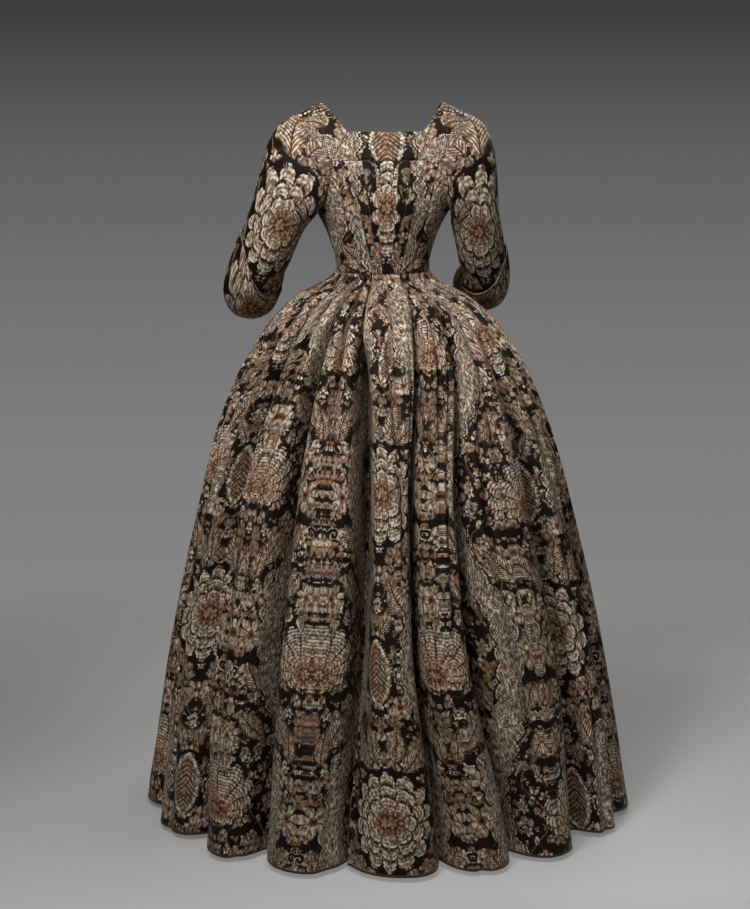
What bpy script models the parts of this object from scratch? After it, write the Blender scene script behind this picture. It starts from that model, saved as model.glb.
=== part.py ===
"""Brocaded silk gown of the 1740s, worn over a wide petticoat, as eighteen cut and sewn pieces.

Metres, +Z up. The origin lies midway between the shoulder straps, at shoulder height. The back of
the gown faces +Y, the front -Y, and the wearer's left side lies at +X. Heights in the tables are
above the floor, because a dressmaker measures a gown so.
"""

import math
from typing import NamedTuple

import bmesh
import bpy
from mathutils import Vector

# Driving dimensions
SHOULDER_HEIGHT = 1.392
UNDERARM_HEIGHT = 1.190
BAND_LOWER_HEIGHT = 1.286
BACK_NECK_HEIGHT = 1.340
FRONT_NECK_HEIGHT = 1.205

BODICE_WALL = 0.0010
SKIRT_WALL = 0.0015
SEAM_GAP = 0.0004
SLEEVE_GAP = 0.0005
STITCHED_PLEAT_RISE = 0.0014
ROBING_RISE = BODICE_WALL + 0.0008
CUFF_RISE = BODICE_WALL + 0.0003

# The torso is a rounded, slightly square ring. Above the underarm it closes to the shoulder line.
TORSO_POWER = 2.3
TORSO_WIDENING = 0.75
RIDGE_START = 0.118
RIDGE_FALL = 0.46

# The skirt is a nearly round ring with folds, a little wider on the wearer's right.
SKIRT_POWER = 2.15
RIGHT_SPREAD = 0.042
STEPS_PER_FOLD = 10
FOLDS_PER_PANEL = 3
CENTRE_FOLD = 4
CENTRE_FRONT_FOLD = 13
CENTRE_FOLD_WAIST_WIDTH = 34.0
FOLD_ROUNDNESS = 2.3
PLEATS_PER_FOLD = 2
PLEAT_PEAK = 0.2
PLAIN_PLEAT_LEVEL = 0.2

# A sleeve leaves the armhole partly outwards and partly downwards, from the underarm to the top.
CAP_OUTWARD = (0.30, 0.92)
CAP_DOWNWARD = (-0.95, -0.40)
CAP_BACKWARD = 0.30
CAP_LIFT = 0.3

# Numbers of columns and rings across the pieces
SIDE_BACK_COLUMNS = 3
UNDERARM_COLUMNS = 4
SIDE_COLUMNS = 5
ROBING_COLUMNS = 3
BAND_HALF_COLUMNS = 4
CAP_RINGS = 5
SLEEVE_PLACES = (0.0, 1.0, 2.0, 2.5, 3.0, 3.5, 4.0, 4.5, 5.0, 6.0, 7.0)
CUFF_PLACES = (3.5, 4.0, 4.5, 5.0, 6.0, 7.0)


class TorsoSection(NamedTuple):
    """One level ring of the bodice's outer face."""

    height: float
    half_width: float
    back: float
    front: float


TORSO = (
    TorsoSection(1.068, 0.0915, 0.0880, 0.0930),
    TorsoSection(1.086, 0.0922, 0.0888, 0.0950),
    TorsoSection(1.112, 0.0980, 0.0915, 0.1010),
    TorsoSection(1.140, 0.1070, 0.0955, 0.1090),
    TorsoSection(1.166, 0.1190, 0.0995, 0.1160),
    TorsoSection(1.190, 0.1330, 0.1030, 0.1200),
)


class BackSeam(NamedTuple):
    """Half widths of the back at one height: to the stitched pleats and to the side-back seam."""

    height: float
    pleats: float
    side_back: float


BACK_SEAMS = (
    BackSeam(1.068, 0.0250, 0.0500),
    BackSeam(1.086, 0.0290, 0.0560),
    BackSeam(1.112, 0.0350, 0.0630),
    BackSeam(1.140, 0.0415, 0.0700),
    BackSeam(1.166, 0.0470, 0.0765),
    BackSeam(1.190, 0.0520, 0.0825),
    BackSeam(1.225, 0.0600, 0.0905),
    BackSeam(1.270, 0.0695, 0.1005),
    BackSeam(1.286, 0.0730, 0.1035),
)


class StitchedPleat(NamedTuple):
    """One stitched-down pleat of the back: where its edge lies and how thick the cloth is inside it.

    The edge is a share of the pleated half width, and the thickness a share of the thickest cloth.
    """

    edge: float
    thickness: float


STITCHED_PLEATS = (
    StitchedPleat(0.30, 0.72),
    StitchedPleat(0.64, 0.88),
    StitchedPleat(1.00, 1.00),
)
STITCHED_STEP_WIDTH = 0.0012


class Armhole(NamedTuple):
    """Half width of the back at the armhole's edge, at one height."""

    height: float
    edge: float


ARMHOLE = (
    Armhole(1.068, 0.0850),
    Armhole(1.190, 0.1270),
    Armhole(1.206, 0.1190),
    Armhole(1.228, 0.1115),
    Armhole(1.250, 0.1065),
    Armhole(1.270, 0.1045),
)


class Strap(NamedTuple):
    """One row across the robing where it crosses the shoulder.

    The turns are degrees from the underarm level (0) to the shoulder line (90).
    """

    facing: int
    inner_turn: float
    inner: float
    outer_turn: float
    outer: float
    rise: float


STRAP = (
    Strap(-1, 22.0, 0.0870, 20.0, 0.1260, 1.0),
    Strap(-1, 45.0, 0.0980, 41.0, 0.1380, 1.0),
    Strap(-1, 70.0, 0.1110, 62.0, 0.1600, 1.0),
    Strap(1, 90.0, 0.1160, 90.0, 0.1750, 1.0),
    Strap(1, 73.0, 0.1080, 60.0, 0.1570, 0.7),
    Strap(1, 60.0, 0.0930, 42.0, 0.1340, 0.3),
    Strap(1, 48.0, 0.0735, 28.6, 0.1035, 0.0),
)


class RobingEdge(NamedTuple):
    """The robing's two edges on the front, as half widths at one height."""

    height: float
    inner: float
    outer: float


ROBING = (
    RobingEdge(1.068, 0.0180, 0.0540),
    RobingEdge(1.086, 0.0270, 0.0640),
    RobingEdge(1.112, 0.0400, 0.0780),
    RobingEdge(1.140, 0.0530, 0.0920),
    RobingEdge(1.166, 0.0650, 0.1050),
    RobingEdge(1.190, 0.0760, 0.1180),
    RobingEdge(1.205, 0.0810, 0.1230),
)


class SkirtSection(NamedTuple):
    """One level of the skirt, measured over its fold crests.

    The fold column is the share of each fold's hem depth, the pleat column the depth of the waist
    pleats, and the fan column how far the folds have moved from their places at the waist to their
    places at the hem.
    """

    height: float
    half_width: float
    back: float
    front: float
    fold: float
    pleat: float
    fan: float


SKIRT = (
    SkirtSection(0.010, 0.478, 0.528, 0.440, 1.00, 0.000, 1.00),
    SkirtSection(0.180, 0.453, 0.496, 0.418, 0.92, 0.000, 1.00),
    SkirtSection(0.380, 0.418, 0.450, 0.386, 0.80, 0.002, 1.00),
    SkirtSection(0.580, 0.374, 0.394, 0.342, 0.66, 0.006, 0.96),
    SkirtSection(0.740, 0.334, 0.342, 0.298, 0.50, 0.010, 0.84),
    SkirtSection(0.860, 0.290, 0.288, 0.252, 0.34, 0.014, 0.62),
    SkirtSection(0.935, 0.247, 0.240, 0.212, 0.20, 0.014, 0.40),
    SkirtSection(0.985, 0.207, 0.196, 0.172, 0.11, 0.012, 0.24),
    SkirtSection(1.018, 0.168, 0.156, 0.140, 0.05, 0.010, 0.12),
    SkirtSection(1.038, 0.130, 0.122, 0.119, 0.02, 0.008, 0.05),
    SkirtSection(1.054, 0.104, 0.100, 0.104, 0.00, 0.006, 0.02),
    SkirtSection(1.068, 0.0965, 0.0930, 0.0980, 0.00, 0.005, 0.00),
)


class Fold(NamedTuple):
    """One big fold at the hem: its crest, the valley after it and its depth.

    Angles are degrees round the hem from the centre back, growing towards the wearer's right.
    """

    crest: float
    valley: float
    depth: float


FOLDS = (
    Fold(-87.0, -76.0, 0.050),
    Fold(-64.0, -53.0, 0.045),
    Fold(-41.0, -35.0, 0.078),
    Fold(-22.0, -13.0, 0.085),
    Fold(1.0, 8.5, 0.060),
    Fold(17.0, 26.0, 0.072),
    Fold(34.0, 46.0, 0.082),
    Fold(55.0, 61.0, 0.060),
    Fold(71.0, 84.0, 0.062),
    Fold(96.0, 107.0, 0.050),
    Fold(118.0, 128.0, 0.058),
    Fold(139.0, 149.0, 0.060),
    Fold(160.0, 170.0, 0.055),
    Fold(181.0, 191.0, 0.062),
    Fold(202.0, 212.0, 0.055),
    Fold(222.0, 232.0, 0.060),
    Fold(243.0, 252.0, 0.052),
    Fold(259.0, 266.0, 0.048),
)

SKIRT_PANELS = (
    ("skirt_left_back", 0),
    ("skirt_back", 3),
    ("skirt_right_back", 6),
    ("skirt_right_front", 9),
    ("skirt_front", 12),
    ("skirt_left_front", 15),
)


class ArmSection(NamedTuple):
    """One ring of a sleeve below its cap: the ring's centre and its half sizes."""

    x: float
    y: float
    height: float
    half_width: float
    half_depth: float


LEFT_ARM = (
    ArmSection(0.207, 0.000, 1.165, 0.0560, 0.0590),
    ArmSection(0.224, -0.008, 1.120, 0.0545, 0.0570),
    ArmSection(0.240, -0.022, 1.080, 0.0530, 0.0545),
    ArmSection(0.251, -0.042, 1.045, 0.0525, 0.0530),
    ArmSection(0.256, -0.070, 1.023, 0.0520, 0.0515),
    ArmSection(0.255, -0.102, 1.014, 0.0510, 0.0500),
    ArmSection(0.252, -0.138, 1.012, 0.0500, 0.0490),
    ArmSection(0.249, -0.170, 1.013, 0.0500, 0.0490),
)

RIGHT_ARM = (
    ArmSection(0.184, 0.000, 1.165, 0.0480, 0.0580),
    ArmSection(0.193, -0.016, 1.122, 0.0475, 0.0555),
    ArmSection(0.204, -0.040, 1.084, 0.0470, 0.0530),
    ArmSection(0.212, -0.067, 1.051, 0.0470, 0.0510),
    ArmSection(0.216, -0.098, 1.030, 0.0470, 0.0500),
    ArmSection(0.216, -0.130, 1.021, 0.0470, 0.0490),
    ArmSection(0.214, -0.165, 1.019, 0.0470, 0.0480),
    ArmSection(0.211, -0.196, 1.020, 0.0470, 0.0480),
)


class CuffCut(NamedTuple):
    """Where a cuff's slanted upper edge lies, in arm sections, and how far it stands off."""

    inner_start: float
    rise: float
    flare: float


LEFT_CUFF = CuffCut(3.0, 2.1, 0.0070)
RIGHT_CUFF = CuffCut(3.1, 1.5, 0.0060)

FINISHES = {
    "bodice": ((0.27, 0.22, 0.16, 1.0), 0.48),
    "sleeve": ((0.25, 0.20, 0.15, 1.0), 0.48),
    "skirt": ((0.23, 0.19, 0.14, 1.0), 0.50),
    "trim": ((0.30, 0.24, 0.18, 1.0), 0.46),
}


def lerp(start, end, share):
    """The point or number at a share of the way from start to end."""
    return start + (end - start) * share


def smooth(share):
    """A share from 0 to 1 that starts and ends gently."""
    share = min(max(share, 0.0), 1.0)
    return share * share * (3.0 - 2.0 * share)


def read(table, height, column):
    """A column of a table of heights, read between its rows."""
    for low, high in zip(table, table[1:]):
        if height <= high.height:
            break
    share = (height - low.height) / (high.height - low.height)
    return lerp(getattr(low, column), getattr(high, column), min(max(share, 0.0), 1.0))


def above_floor(x, y, height):
    """A point given by its height above the floor, in the gown's own frame."""
    return Vector((x, y, height - SHOULDER_HEIGHT))


def shoulder_line(x):
    """Height of the shoulder line over a half width."""
    return SHOULDER_HEIGHT - RIDGE_FALL * max(0.0, abs(x) - RIDGE_START)


def torso_half_width(height):
    """Half width of the torso's ring, which goes on widening above the underarm."""
    extra = max(0.0, height - UNDERARM_HEIGHT)
    return read(TORSO, height, "half_width") + TORSO_WIDENING * extra


def torso_depth(x, height, facing):
    """Depth of the outer face behind (facing 1) or before (facing -1) a half width x."""
    column = "back" if facing > 0 else "front"
    rise = max(0.0, height - UNDERARM_HEIGHT) / (shoulder_line(x) - UNDERARM_HEIGHT)
    closing = math.sqrt(max(0.0, 1.0 - rise * rise))
    across = min(abs(x) / torso_half_width(height), 1.0)
    round_off = (1.0 - across**TORSO_POWER) ** (1.0 / TORSO_POWER)
    return facing * read(TORSO, height, column) * closing * round_off


def torso_at(x, height, facing):
    """A point of the bodice's outer face."""
    return above_floor(x, torso_depth(x, height, facing), height)


def torso_round(angle, height):
    """A point of the outer face at an angle from the centre back (0) by the side (90) to the front."""
    across = abs(math.sin(math.radians(angle))) ** (2.0 / TORSO_POWER)
    facing = 1 if angle <= 90.0 else -1
    return torso_at(across * torso_half_width(height), height, facing)


def angle_of(x, height, facing):
    """The angle round the torso at which its outer face has a half width x."""
    across = min(x / torso_half_width(height), 1.0) ** (TORSO_POWER / 2.0)
    angle = math.degrees(math.asin(across))
    return angle if facing > 0 else 180.0 - angle


def torso_normal(point):
    """Direction out of the torso at a point of its outer face."""
    height = point.z + SHOULDER_HEIGHT
    facing = 1 if point.y >= 0 else -1
    depth = read(TORSO, height, "back" if facing > 0 else "front")
    rise = max(0.0, height - UNDERARM_HEIGHT)
    tall = shoulder_line(point.x) - UNDERARM_HEIGHT
    across = abs(point.x) / torso_half_width(height)
    out = Vector(
        (
            math.copysign(across ** (TORSO_POWER - 1.0), point.x) / torso_half_width(height),
            point.y / depth**2,
            rise / tall**2,
        )
    )
    return out.normalized()


def mirrored(rows):
    """The same rows on the other side of the body."""
    return [[Vector((-point.x, point.y, point.z)) for point in row] for row in rows]


def seamed(rows, first_row=True, last_row=True, first_column=True, last_column=True):
    """The rows with the chosen edges drawn in by half a seam gap."""
    rows = [[point.copy() for point in row] for row in rows]
    half = SEAM_GAP / 2.0
    if first_column or last_column:
        for row in rows:
            if first_column:
                row[0] += half * (row[1] - row[0]).normalized()
            if last_column:
                row[-1] += half * (row[-2] - row[-1]).normalized()
    if first_row:
        for low, high in zip(rows[0], rows[1]):
            low += half * (high - low).normalized()
    if last_row:
        for high, low in zip(rows[-1], rows[-2]):
            high += half * (low - high).normalized()
    return rows


def cloth_material(name, finish):
    """A Principled material for one piece."""
    colour, roughness = FINISHES[finish]
    material = bpy.data.materials.new(name)
    material.use_nodes = True
    shader = material.node_tree.nodes["Principled BSDF"]
    shader.inputs["Base Color"].default_value = colour
    shader.inputs["Roughness"].default_value = roughness
    shader.inputs["Metallic"].default_value = 0.0
    return material


def cloth_piece(name, rows, wall, finish, collection, ring=False, outside=-1.0, weights=None):
    """A cloth wall on rows of points, closed round where ring is set.

    A row may be shorter than the one below it, where an edge of the piece is cut away. The rows
    lie on the outer face (outside -1) or on the inner one (outside 1).
    """
    shape = bmesh.new()
    grid = [[shape.verts.new(point) for point in row] for row in rows]
    lean = 0.0
    for low, high in zip(grid, grid[1:]):
        count = min(len(low), len(high))
        core = sum((vert.co for vert in low), Vector()) / len(low)
        for step in range(count if ring else count - 1):
            after = (step + 1) % count
            face = shape.faces.new((low[step], low[after], high[after], high[step]))
            face.normal_update()
            centre = face.calc_center_median()
            axis = core if ring else Vector((0.0, 0.0, centre.z))
            lean += face.normal.dot(centre - axis) * face.calc_area()
    if lean < 0.0:
        bmesh.ops.reverse_faces(shape, faces=shape.faces)
    mesh = bpy.data.meshes.new(name)
    shape.to_mesh(mesh)
    shape.free()
    mesh.materials.append(cloth_material(name, finish))
    mesh.shade_smooth()
    piece = bpy.data.objects.new(name, mesh)
    collection.objects.link(piece)
    solidify = piece.modifiers.new("wall", "SOLIDIFY")
    solidify.thickness = wall
    solidify.offset = outside
    solidify.use_even_offset = True
    if weights is not None:
        group = piece.vertex_groups.new(name="thickness")
        flat = [weight for row in weights for weight in row]
        for index, weight in enumerate(flat):
            group.add([index], weight, "REPLACE")
        solidify.vertex_group = group.name
    return piece


def build_back(collection):
    """The centre back, with its pleats stitched down as steps over a plain inside."""
    thick = BODICE_WALL + STITCHED_PLEAT_RISE
    thin = BODICE_WALL / thick
    step = STITCHED_STEP_WIDTH
    inner, middle, outer = STITCHED_PLEATS
    rows, weights = [], []
    for height in [*side_heights(), BAND_LOWER_HEIGHT]:
        pleats = read(BACK_SEAMS, height, "pleats")
        side_back = read(BACK_SEAMS, height, "side_back")
        half = [
            (0.0, inner.thickness),
            (pleats * inner.edge, inner.thickness),
            (pleats * inner.edge + step, middle.thickness),
            (pleats * middle.edge, middle.thickness),
            (pleats * middle.edge + step, outer.thickness),
            (pleats * outer.edge - step, outer.thickness),
            (pleats * outer.edge + step, thin),
            ((pleats + side_back) / 2.0, thin),
            (side_back, thin),
        ]
        across = [(-x, weight) for x, weight in reversed(half[1:])] + half
        row = [torso_at(x, height, 1) for x, _ in across]
        rows.append([point - BODICE_WALL * torso_normal(point) for point in row])
        weights.append([weight for _, weight in across])
    rows = seamed(rows)
    cloth_piece("bodice_back", rows, thick, "bodice", collection, outside=1.0, weights=weights)


def side_heights():
    """Heights of the rows that the back and the side pieces share."""
    heights = [section.height for section in TORSO]
    return heights + [row.height for row in ARMHOLE if row.height > UNDERARM_HEIGHT]


def side_rows():
    """Rows of the left side piece, from the side-back seam to the side seam."""
    rows = []
    for height in side_heights():
        start = angle_of(read(BACK_SEAMS, height, "side_back"), height, 1)
        edge = angle_of(read(ARMHOLE, height, "edge"), height, 1)
        steps = range(SIDE_BACK_COLUMNS + 1)
        angles = [lerp(start, edge, step / SIDE_BACK_COLUMNS) for step in steps]
        if height <= UNDERARM_HEIGHT:
            steps = range(1, UNDERARM_COLUMNS + 1)
            angles += [lerp(edge, 90.0, step / UNDERARM_COLUMNS) for step in steps]
        rows.append([torso_round(angle, height) for angle in angles])
    return rows


def front_rows():
    """Rows of the left front, from the side seam to the centre front."""
    rows = []
    levels = [section.height for section in TORSO] + [FRONT_NECK_HEIGHT]
    for level in levels:
        inner, outer = read(ROBING, level, "inner"), read(ROBING, level, "outer")
        edge = angle_of(outer, level, -1)
        columns = [lerp(90.0, edge, step / SIDE_COLUMNS) for step in range(SIDE_COLUMNS)]
        row = []
        for angle in columns:
            rise = smooth((angle - 90.0) / (edge - 90.0))
            height = min(level, lerp(UNDERARM_HEIGHT, FRONT_NECK_HEIGHT, rise))
            row.append(torso_round(angle, height))
        for step in range(ROBING_COLUMNS + 1):
            row.append(torso_at(lerp(outer, inner, step / ROBING_COLUMNS), level, -1))
        row.append(torso_at(inner / 2.0, level, -1))
        row.append(torso_at(0.0, level, -1))
        rows.append(row)
    span = rows[-1][-1].z - rows[-3][-1].z
    share = (rows[-2][-1].z - rows[-3][-1].z) / span
    for column in range(SIDE_COLUMNS):
        rows[-2][column] = lerp(rows[-3][column], rows[-1][column], share)
    return rows


def robing_rows():
    """Rows of the left robing, from the front waist up to the mitre behind the shoulder."""
    rows = []
    for fronts in front_rows():
        laid = fronts[SIDE_COLUMNS : SIDE_COLUMNS + ROBING_COLUMNS + 1]
        rows.append([point + ROBING_RISE * torso_normal(point) for point in laid])
    for strap in STRAP:
        row = []
        for step in range(ROBING_COLUMNS + 1):
            share = step / ROBING_COLUMNS
            x = lerp(strap.outer, strap.inner, share)
            turn = math.radians(lerp(strap.outer_turn, strap.inner_turn, share))
            rise = (shoulder_line(x) - UNDERARM_HEIGHT) * math.sin(turn)
            point = torso_at(x, UNDERARM_HEIGHT + rise, strap.facing)
            row.append(point + ROBING_RISE * strap.rise * torso_normal(point))
        rows.append(row)
    return rows


def build_bodice(collection):
    """The side pieces, the fronts, the neck band and the robings."""
    sides = seamed(side_rows())
    fronts = seamed(front_rows())
    robing = seamed(robing_rows(), first_column=False, last_column=False)
    for side, place in (("left", list), ("right", mirrored)):
        cloth_piece(f"bodice_side_{side}", place(sides), BODICE_WALL, "bodice", collection)
        cloth_piece(f"bodice_front_{side}", place(fronts), BODICE_WALL, "bodice", collection)
        cloth_piece(f"robing_{side}", place(robing), BODICE_WALL, "trim", collection)
    band = []
    lower, upper = STRAP[-1].outer, STRAP[-1].inner
    for share in (0.0, 0.5, 1.0):
        height = lerp(BAND_LOWER_HEIGHT, BACK_NECK_HEIGHT, share)
        half = lerp(lower, upper, share)
        steps = range(-BAND_HALF_COLUMNS, BAND_HALF_COLUMNS + 1)
        band.append([torso_at(half * step / BAND_HALF_COLUMNS, height, 1) for step in steps])
    cloth_piece("back_neck_band", seamed(band), BODICE_WALL, "trim", collection)


def armhole_loop():
    """The left armhole's edge, from the shoulder line by the back, the underarm and the front."""
    robing = robing_rows()
    lowest = len(robing) - len(STRAP)
    ridge = lowest + next(row for row, strap in enumerate(STRAP) if strap.outer_turn == 90.0)
    loop = [row[0] for row in robing[ridge:]]
    sides = side_rows()
    loop += [row[-1] for row in reversed(sides[len(TORSO) :])]
    loop += sides[len(TORSO) - 1][SIDE_BACK_COLUMNS:]
    loop += front_rows()[-1][1:SIDE_COLUMNS]
    loop += [row[0] for row in robing[lowest - 1 : ridge]]
    return loop


def arm_centre(arm, place):
    """Centre, half width and half depth of a sleeve at a place counted in arm sections."""
    index = min(int(place), len(arm) - 2)
    share = place - index
    near = [Vector(arm[min(max(index + step, 0), len(arm) - 1)]) for step in (-1, 0, 1, 2)]
    before, start, end, after = near
    value = start * 2.0 + (end - before) * share
    value += (before * 2.0 - start * 5.0 + end * 4.0 - after) * share**2
    value += (start * 3.0 - before - end * 3.0 + after) * share**3
    return value * 0.5


def arm_frame(arm, place):
    """Centre, outward and backward directions of a sleeve's ring."""
    reach = 0.05
    ahead = arm_centre(arm, min(place + reach, len(arm) - 1.0))
    behind = arm_centre(arm, max(place - reach, 0.0))
    along = Vector((ahead - behind)[:3]).normalized()
    outward = (Vector((1.0, 0.0, 0.0)) - along * along.x).normalized()
    return outward, outward.cross(along), along


def arm_point(arm, place, turn, stand_off=0.0):
    """A point of a sleeve's outer face, turned from the outer side (0) to the back (90)."""
    x, y, height, half_width, half_depth = arm_centre(arm, place)
    outward, backward, _ = arm_frame(arm, place)
    point = above_floor(x, y, height)
    point += outward * (half_width + stand_off) * math.cos(turn)
    return point + backward * (half_depth + stand_off) * math.sin(turn)


def ring_turns(loop):
    """A turn round the sleeve for each point of the armhole, by its way along the edge."""
    steps = [(after - point).length for point, after in zip(loop, loop[1:] + loop[:1])]
    around, turns = 0.0, []
    for step in steps:
        turns.append(math.tau * around / sum(steps))
        around += step
    return turns


def leaving(turn):
    """Direction in which a sleeve leaves the armhole's edge."""
    top = 0.5 + 0.5 * math.cos(turn)
    way = (lerp(*CAP_OUTWARD, top), CAP_BACKWARD * math.sin(turn), lerp(*CAP_DOWNWARD, top))
    return Vector(way).normalized()


def sleeve_rings(arm, loop, turns):
    """Rings of a sleeve, from the armhole over the cap and down to the forearm."""
    _, _, along = arm_frame(arm, 0.0)
    rings = []
    clear = [CAP_LIFT * torso_normal(point) + leaving(turn) for point, turn in zip(loop, turns)]
    edge = [point + SLEEVE_GAP * way for point, way in zip(loop, clear)]
    for ring in range(CAP_RINGS):
        share = ring / CAP_RINGS
        row = []
        for point, turn in zip(edge, turns):
            target = arm_point(arm, 0.0, turn)
            length = (target - point).length
            start, end = leaving(turn) * length, along * length
            s, s2, s3 = share, share**2, share**3
            place = point * (2 * s3 - 3 * s2 + 1) + start * (s3 - 2 * s2 + s)
            row.append(place + target * (3 * s2 - 2 * s3) + end * (s3 - s2))
        rings.append(row)
    for place in SLEEVE_PLACES:
        rings.append([arm_point(arm, place, turn) for turn in turns])
    return rings


def cuff_rings(arm, cuff, turns):
    """Rings of a turned-back cuff, from its slanted upper edge to the sleeve's end."""
    first, last = CUFF_PLACES[0], CUFF_PLACES[-1]
    rings = []
    for share in (0.0, 0.5):
        row = []
        for turn in turns:
            start = cuff.inner_start - cuff.rise * (0.5 + 0.5 * math.cos(turn)) ** 2
            row.append(arm_point(arm, lerp(start, first, share), turn, cuff.flare))
        rings.append(row)
    for place in CUFF_PLACES:
        stand_off = lerp(cuff.flare, CUFF_RISE, (place - first) / (last - first))
        rings.append([arm_point(arm, place, turn, stand_off) for turn in turns])
    return rings


def build_sleeves(collection):
    """Both sleeves and their cuffs."""
    loop = armhole_loop()
    turns = ring_turns(loop)
    arms = (("left", LEFT_ARM, LEFT_CUFF, list), ("right", RIGHT_ARM, RIGHT_CUFF, mirrored))
    for side, arm, cuff, place in arms:
        sleeve = place(sleeve_rings(arm, loop, turns))
        cloth_piece(f"sleeve_{side}", sleeve, BODICE_WALL, "sleeve", collection, ring=True)
        turned = place(cuff_rings(arm, cuff, turns))
        cloth_piece(f"cuff_{side}", turned, BODICE_WALL, "sleeve", collection, ring=True)


def waist_edges():
    """Where each fold starts at the waist, in degrees from the centre back."""
    others = (360.0 - CENTRE_FOLD_WAIST_WIDTH) / (len(FOLDS) - 1)
    first = -CENTRE_FOLD_WAIST_WIDTH / 2.0 - CENTRE_FOLD * others
    edges = [first]
    for index in range(len(FOLDS)):
        edges.append(edges[-1] + (CENTRE_FOLD_WAIST_WIDTH if index == CENTRE_FOLD else others))
    return edges


def hem_angle(index, share):
    """Angle at the hem at a share of the way across a fold."""
    fold = FOLDS[index]
    before = FOLDS[index - 1].valley - (360.0 if index == 0 else 0.0)
    if share < 0.5:
        return lerp(before, fold.crest, 2.0 * share)
    return lerp(fold.crest, fold.valley, 2.0 * share - 1.0)


def pleat_height(index, share):
    """Height of the waist pleats, with the folded edge towards the centre back."""
    if index == CENTRE_FOLD:
        return PLAIN_PLEAT_LEVEL
    across = (PLEATS_PER_FOLD * share) % 1.0
    if index < CENTRE_FOLD or index >= CENTRE_FRONT_FOLD:
        across = 1.0 - across
    if across < PLEAT_PEAK:
        return across / PLEAT_PEAK
    return (1.0 - across) / (1.0 - PLEAT_PEAK)


def skirt_point(section, index, share, edges):
    """A point of the skirt's outer face."""
    at_waist = lerp(edges[index], edges[index + 1], share)
    angle = math.radians(lerp(at_waist, hem_angle(index, share), section.fan))
    side, back = -math.sin(angle), math.cos(angle)
    depth = section.back if back > 0.0 else section.front
    half_width = section.half_width
    if side < 0.0:
        half_width *= 1.0 + RIGHT_SPREAD * section.fold
    ring = (abs(side) / half_width) ** SKIRT_POWER + (abs(back) / depth) ** SKIRT_POWER
    radius = ring ** (-1.0 / SKIRT_POWER)
    valley = abs(2.0 * share - 1.0) ** FOLD_ROUNDNESS
    radius -= FOLDS[index].depth * section.fold * valley
    radius -= section.pleat * (1.0 - pleat_height(index, share))
    return above_floor(side * radius, back * radius, section.height)


def build_skirt(collection):
    """Six breadths of silk, seamed in the valleys of the folds."""
    edges = waist_edges()
    for name, first in SKIRT_PANELS:
        rows = []
        for section in SKIRT:
            row = []
            for index in range(first, first + FOLDS_PER_PANEL):
                for step in range(STEPS_PER_FOLD):
                    row.append(skirt_point(section, index, step / STEPS_PER_FOLD, edges))
            row.append(skirt_point(section, first + FOLDS_PER_PANEL - 1, 1.0, edges))
            rows.append(row)
        rows = seamed(rows, first_row=False)
        cloth_piece(name, rows, SKIRT_WALL, "skirt", collection)


def main():
    """Builds the gown's pieces in one collection."""
    for thing in list(bpy.data.objects):
        bpy.data.objects.remove(thing, do_unlink=True)
    collection = bpy.data.collections.new("gown")
    bpy.context.scene.collection.children.link(collection)
    build_back(collection)
    build_bodice(collection)
    build_sleeves(collection)
    build_skirt(collection)


main()
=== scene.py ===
"""Looks of a brocaded silk gown of the 1740s, in its worn form.

Metres, +Z up. The gown's back faces +Y, its front -Y and the wearer's left side lies at +X. The
tables repeat the pattern-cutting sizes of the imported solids: heights are above the floor, as a
dressmaker measures them, and the origin lies between the shoulder straps.
"""

from __future__ import annotations

import logging
import math
from dataclasses import dataclass
from enum import Enum
from typing import Callable, Iterator, Sequence

import bmesh
import bpy
import numpy as np
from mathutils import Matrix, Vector

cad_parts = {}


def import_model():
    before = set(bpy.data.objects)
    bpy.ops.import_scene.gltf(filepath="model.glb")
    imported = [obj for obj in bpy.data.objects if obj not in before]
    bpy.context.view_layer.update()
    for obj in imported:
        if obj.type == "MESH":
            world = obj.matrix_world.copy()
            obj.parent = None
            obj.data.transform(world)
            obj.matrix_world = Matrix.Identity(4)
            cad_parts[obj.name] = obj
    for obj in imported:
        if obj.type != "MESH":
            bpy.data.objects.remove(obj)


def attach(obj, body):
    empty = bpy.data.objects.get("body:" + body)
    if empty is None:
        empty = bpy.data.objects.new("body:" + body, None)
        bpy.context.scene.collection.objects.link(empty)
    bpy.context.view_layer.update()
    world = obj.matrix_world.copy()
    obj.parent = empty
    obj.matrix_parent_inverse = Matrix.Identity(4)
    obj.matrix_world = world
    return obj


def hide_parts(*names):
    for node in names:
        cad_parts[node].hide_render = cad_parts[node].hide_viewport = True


LOG = logging.getLogger("gown")
Array = np.ndarray
Value = np.ndarray | float
Colour = tuple[float, float, float]

HEM_HEIGHT = 0.010
SHOULDER_HEIGHT = 1.392
WAIST_HEIGHT = 1.068
UNDERARM_HEIGHT = 1.190
BAND_LOWER_HEIGHT = 1.286
BACK_NECK_HEIGHT = 1.340
FRONT_NECK_HEIGHT = 1.205
ARMHOLE_TOP_HEIGHT = 1.270

BODICE_WALL = 0.0010
SKIRT_WALL = 0.0015
SEAM_GAP = 0.0004
SLEEVE_GAP = 0.0005
STITCHED_PLEAT_RISE = 0.0014
ROBING_RISE = BODICE_WALL + 0.0008
CUFF_RISE = BODICE_WALL + 0.0003
BINDING_WIDTH = 0.0048
ROBING_ROLL = 0.0007
ARMHOLE_ROLL = 0.0018

# Where on the pattern pieces were cut, along the weft and up the warp
SIDE_CUT = (0.070, 0.215)
ROBING_CUT = (0.185, 0.210)
NECK_BAND_CUT = (0.0, 0.360)
SLEEVE_CUT = 0.262
CUFF_CUT = 0.180


class Slot(Enum):
    """The record's finishes that a piece of the gown may take."""

    BROCADE = "brocade"
    TRIM = "trim"


class Held(Enum):
    """What keeps a piece of cloth in its form."""

    GATHERED = "gathered"
    STRETCHED = "stretched"
    DRAPED = "draped"


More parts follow.
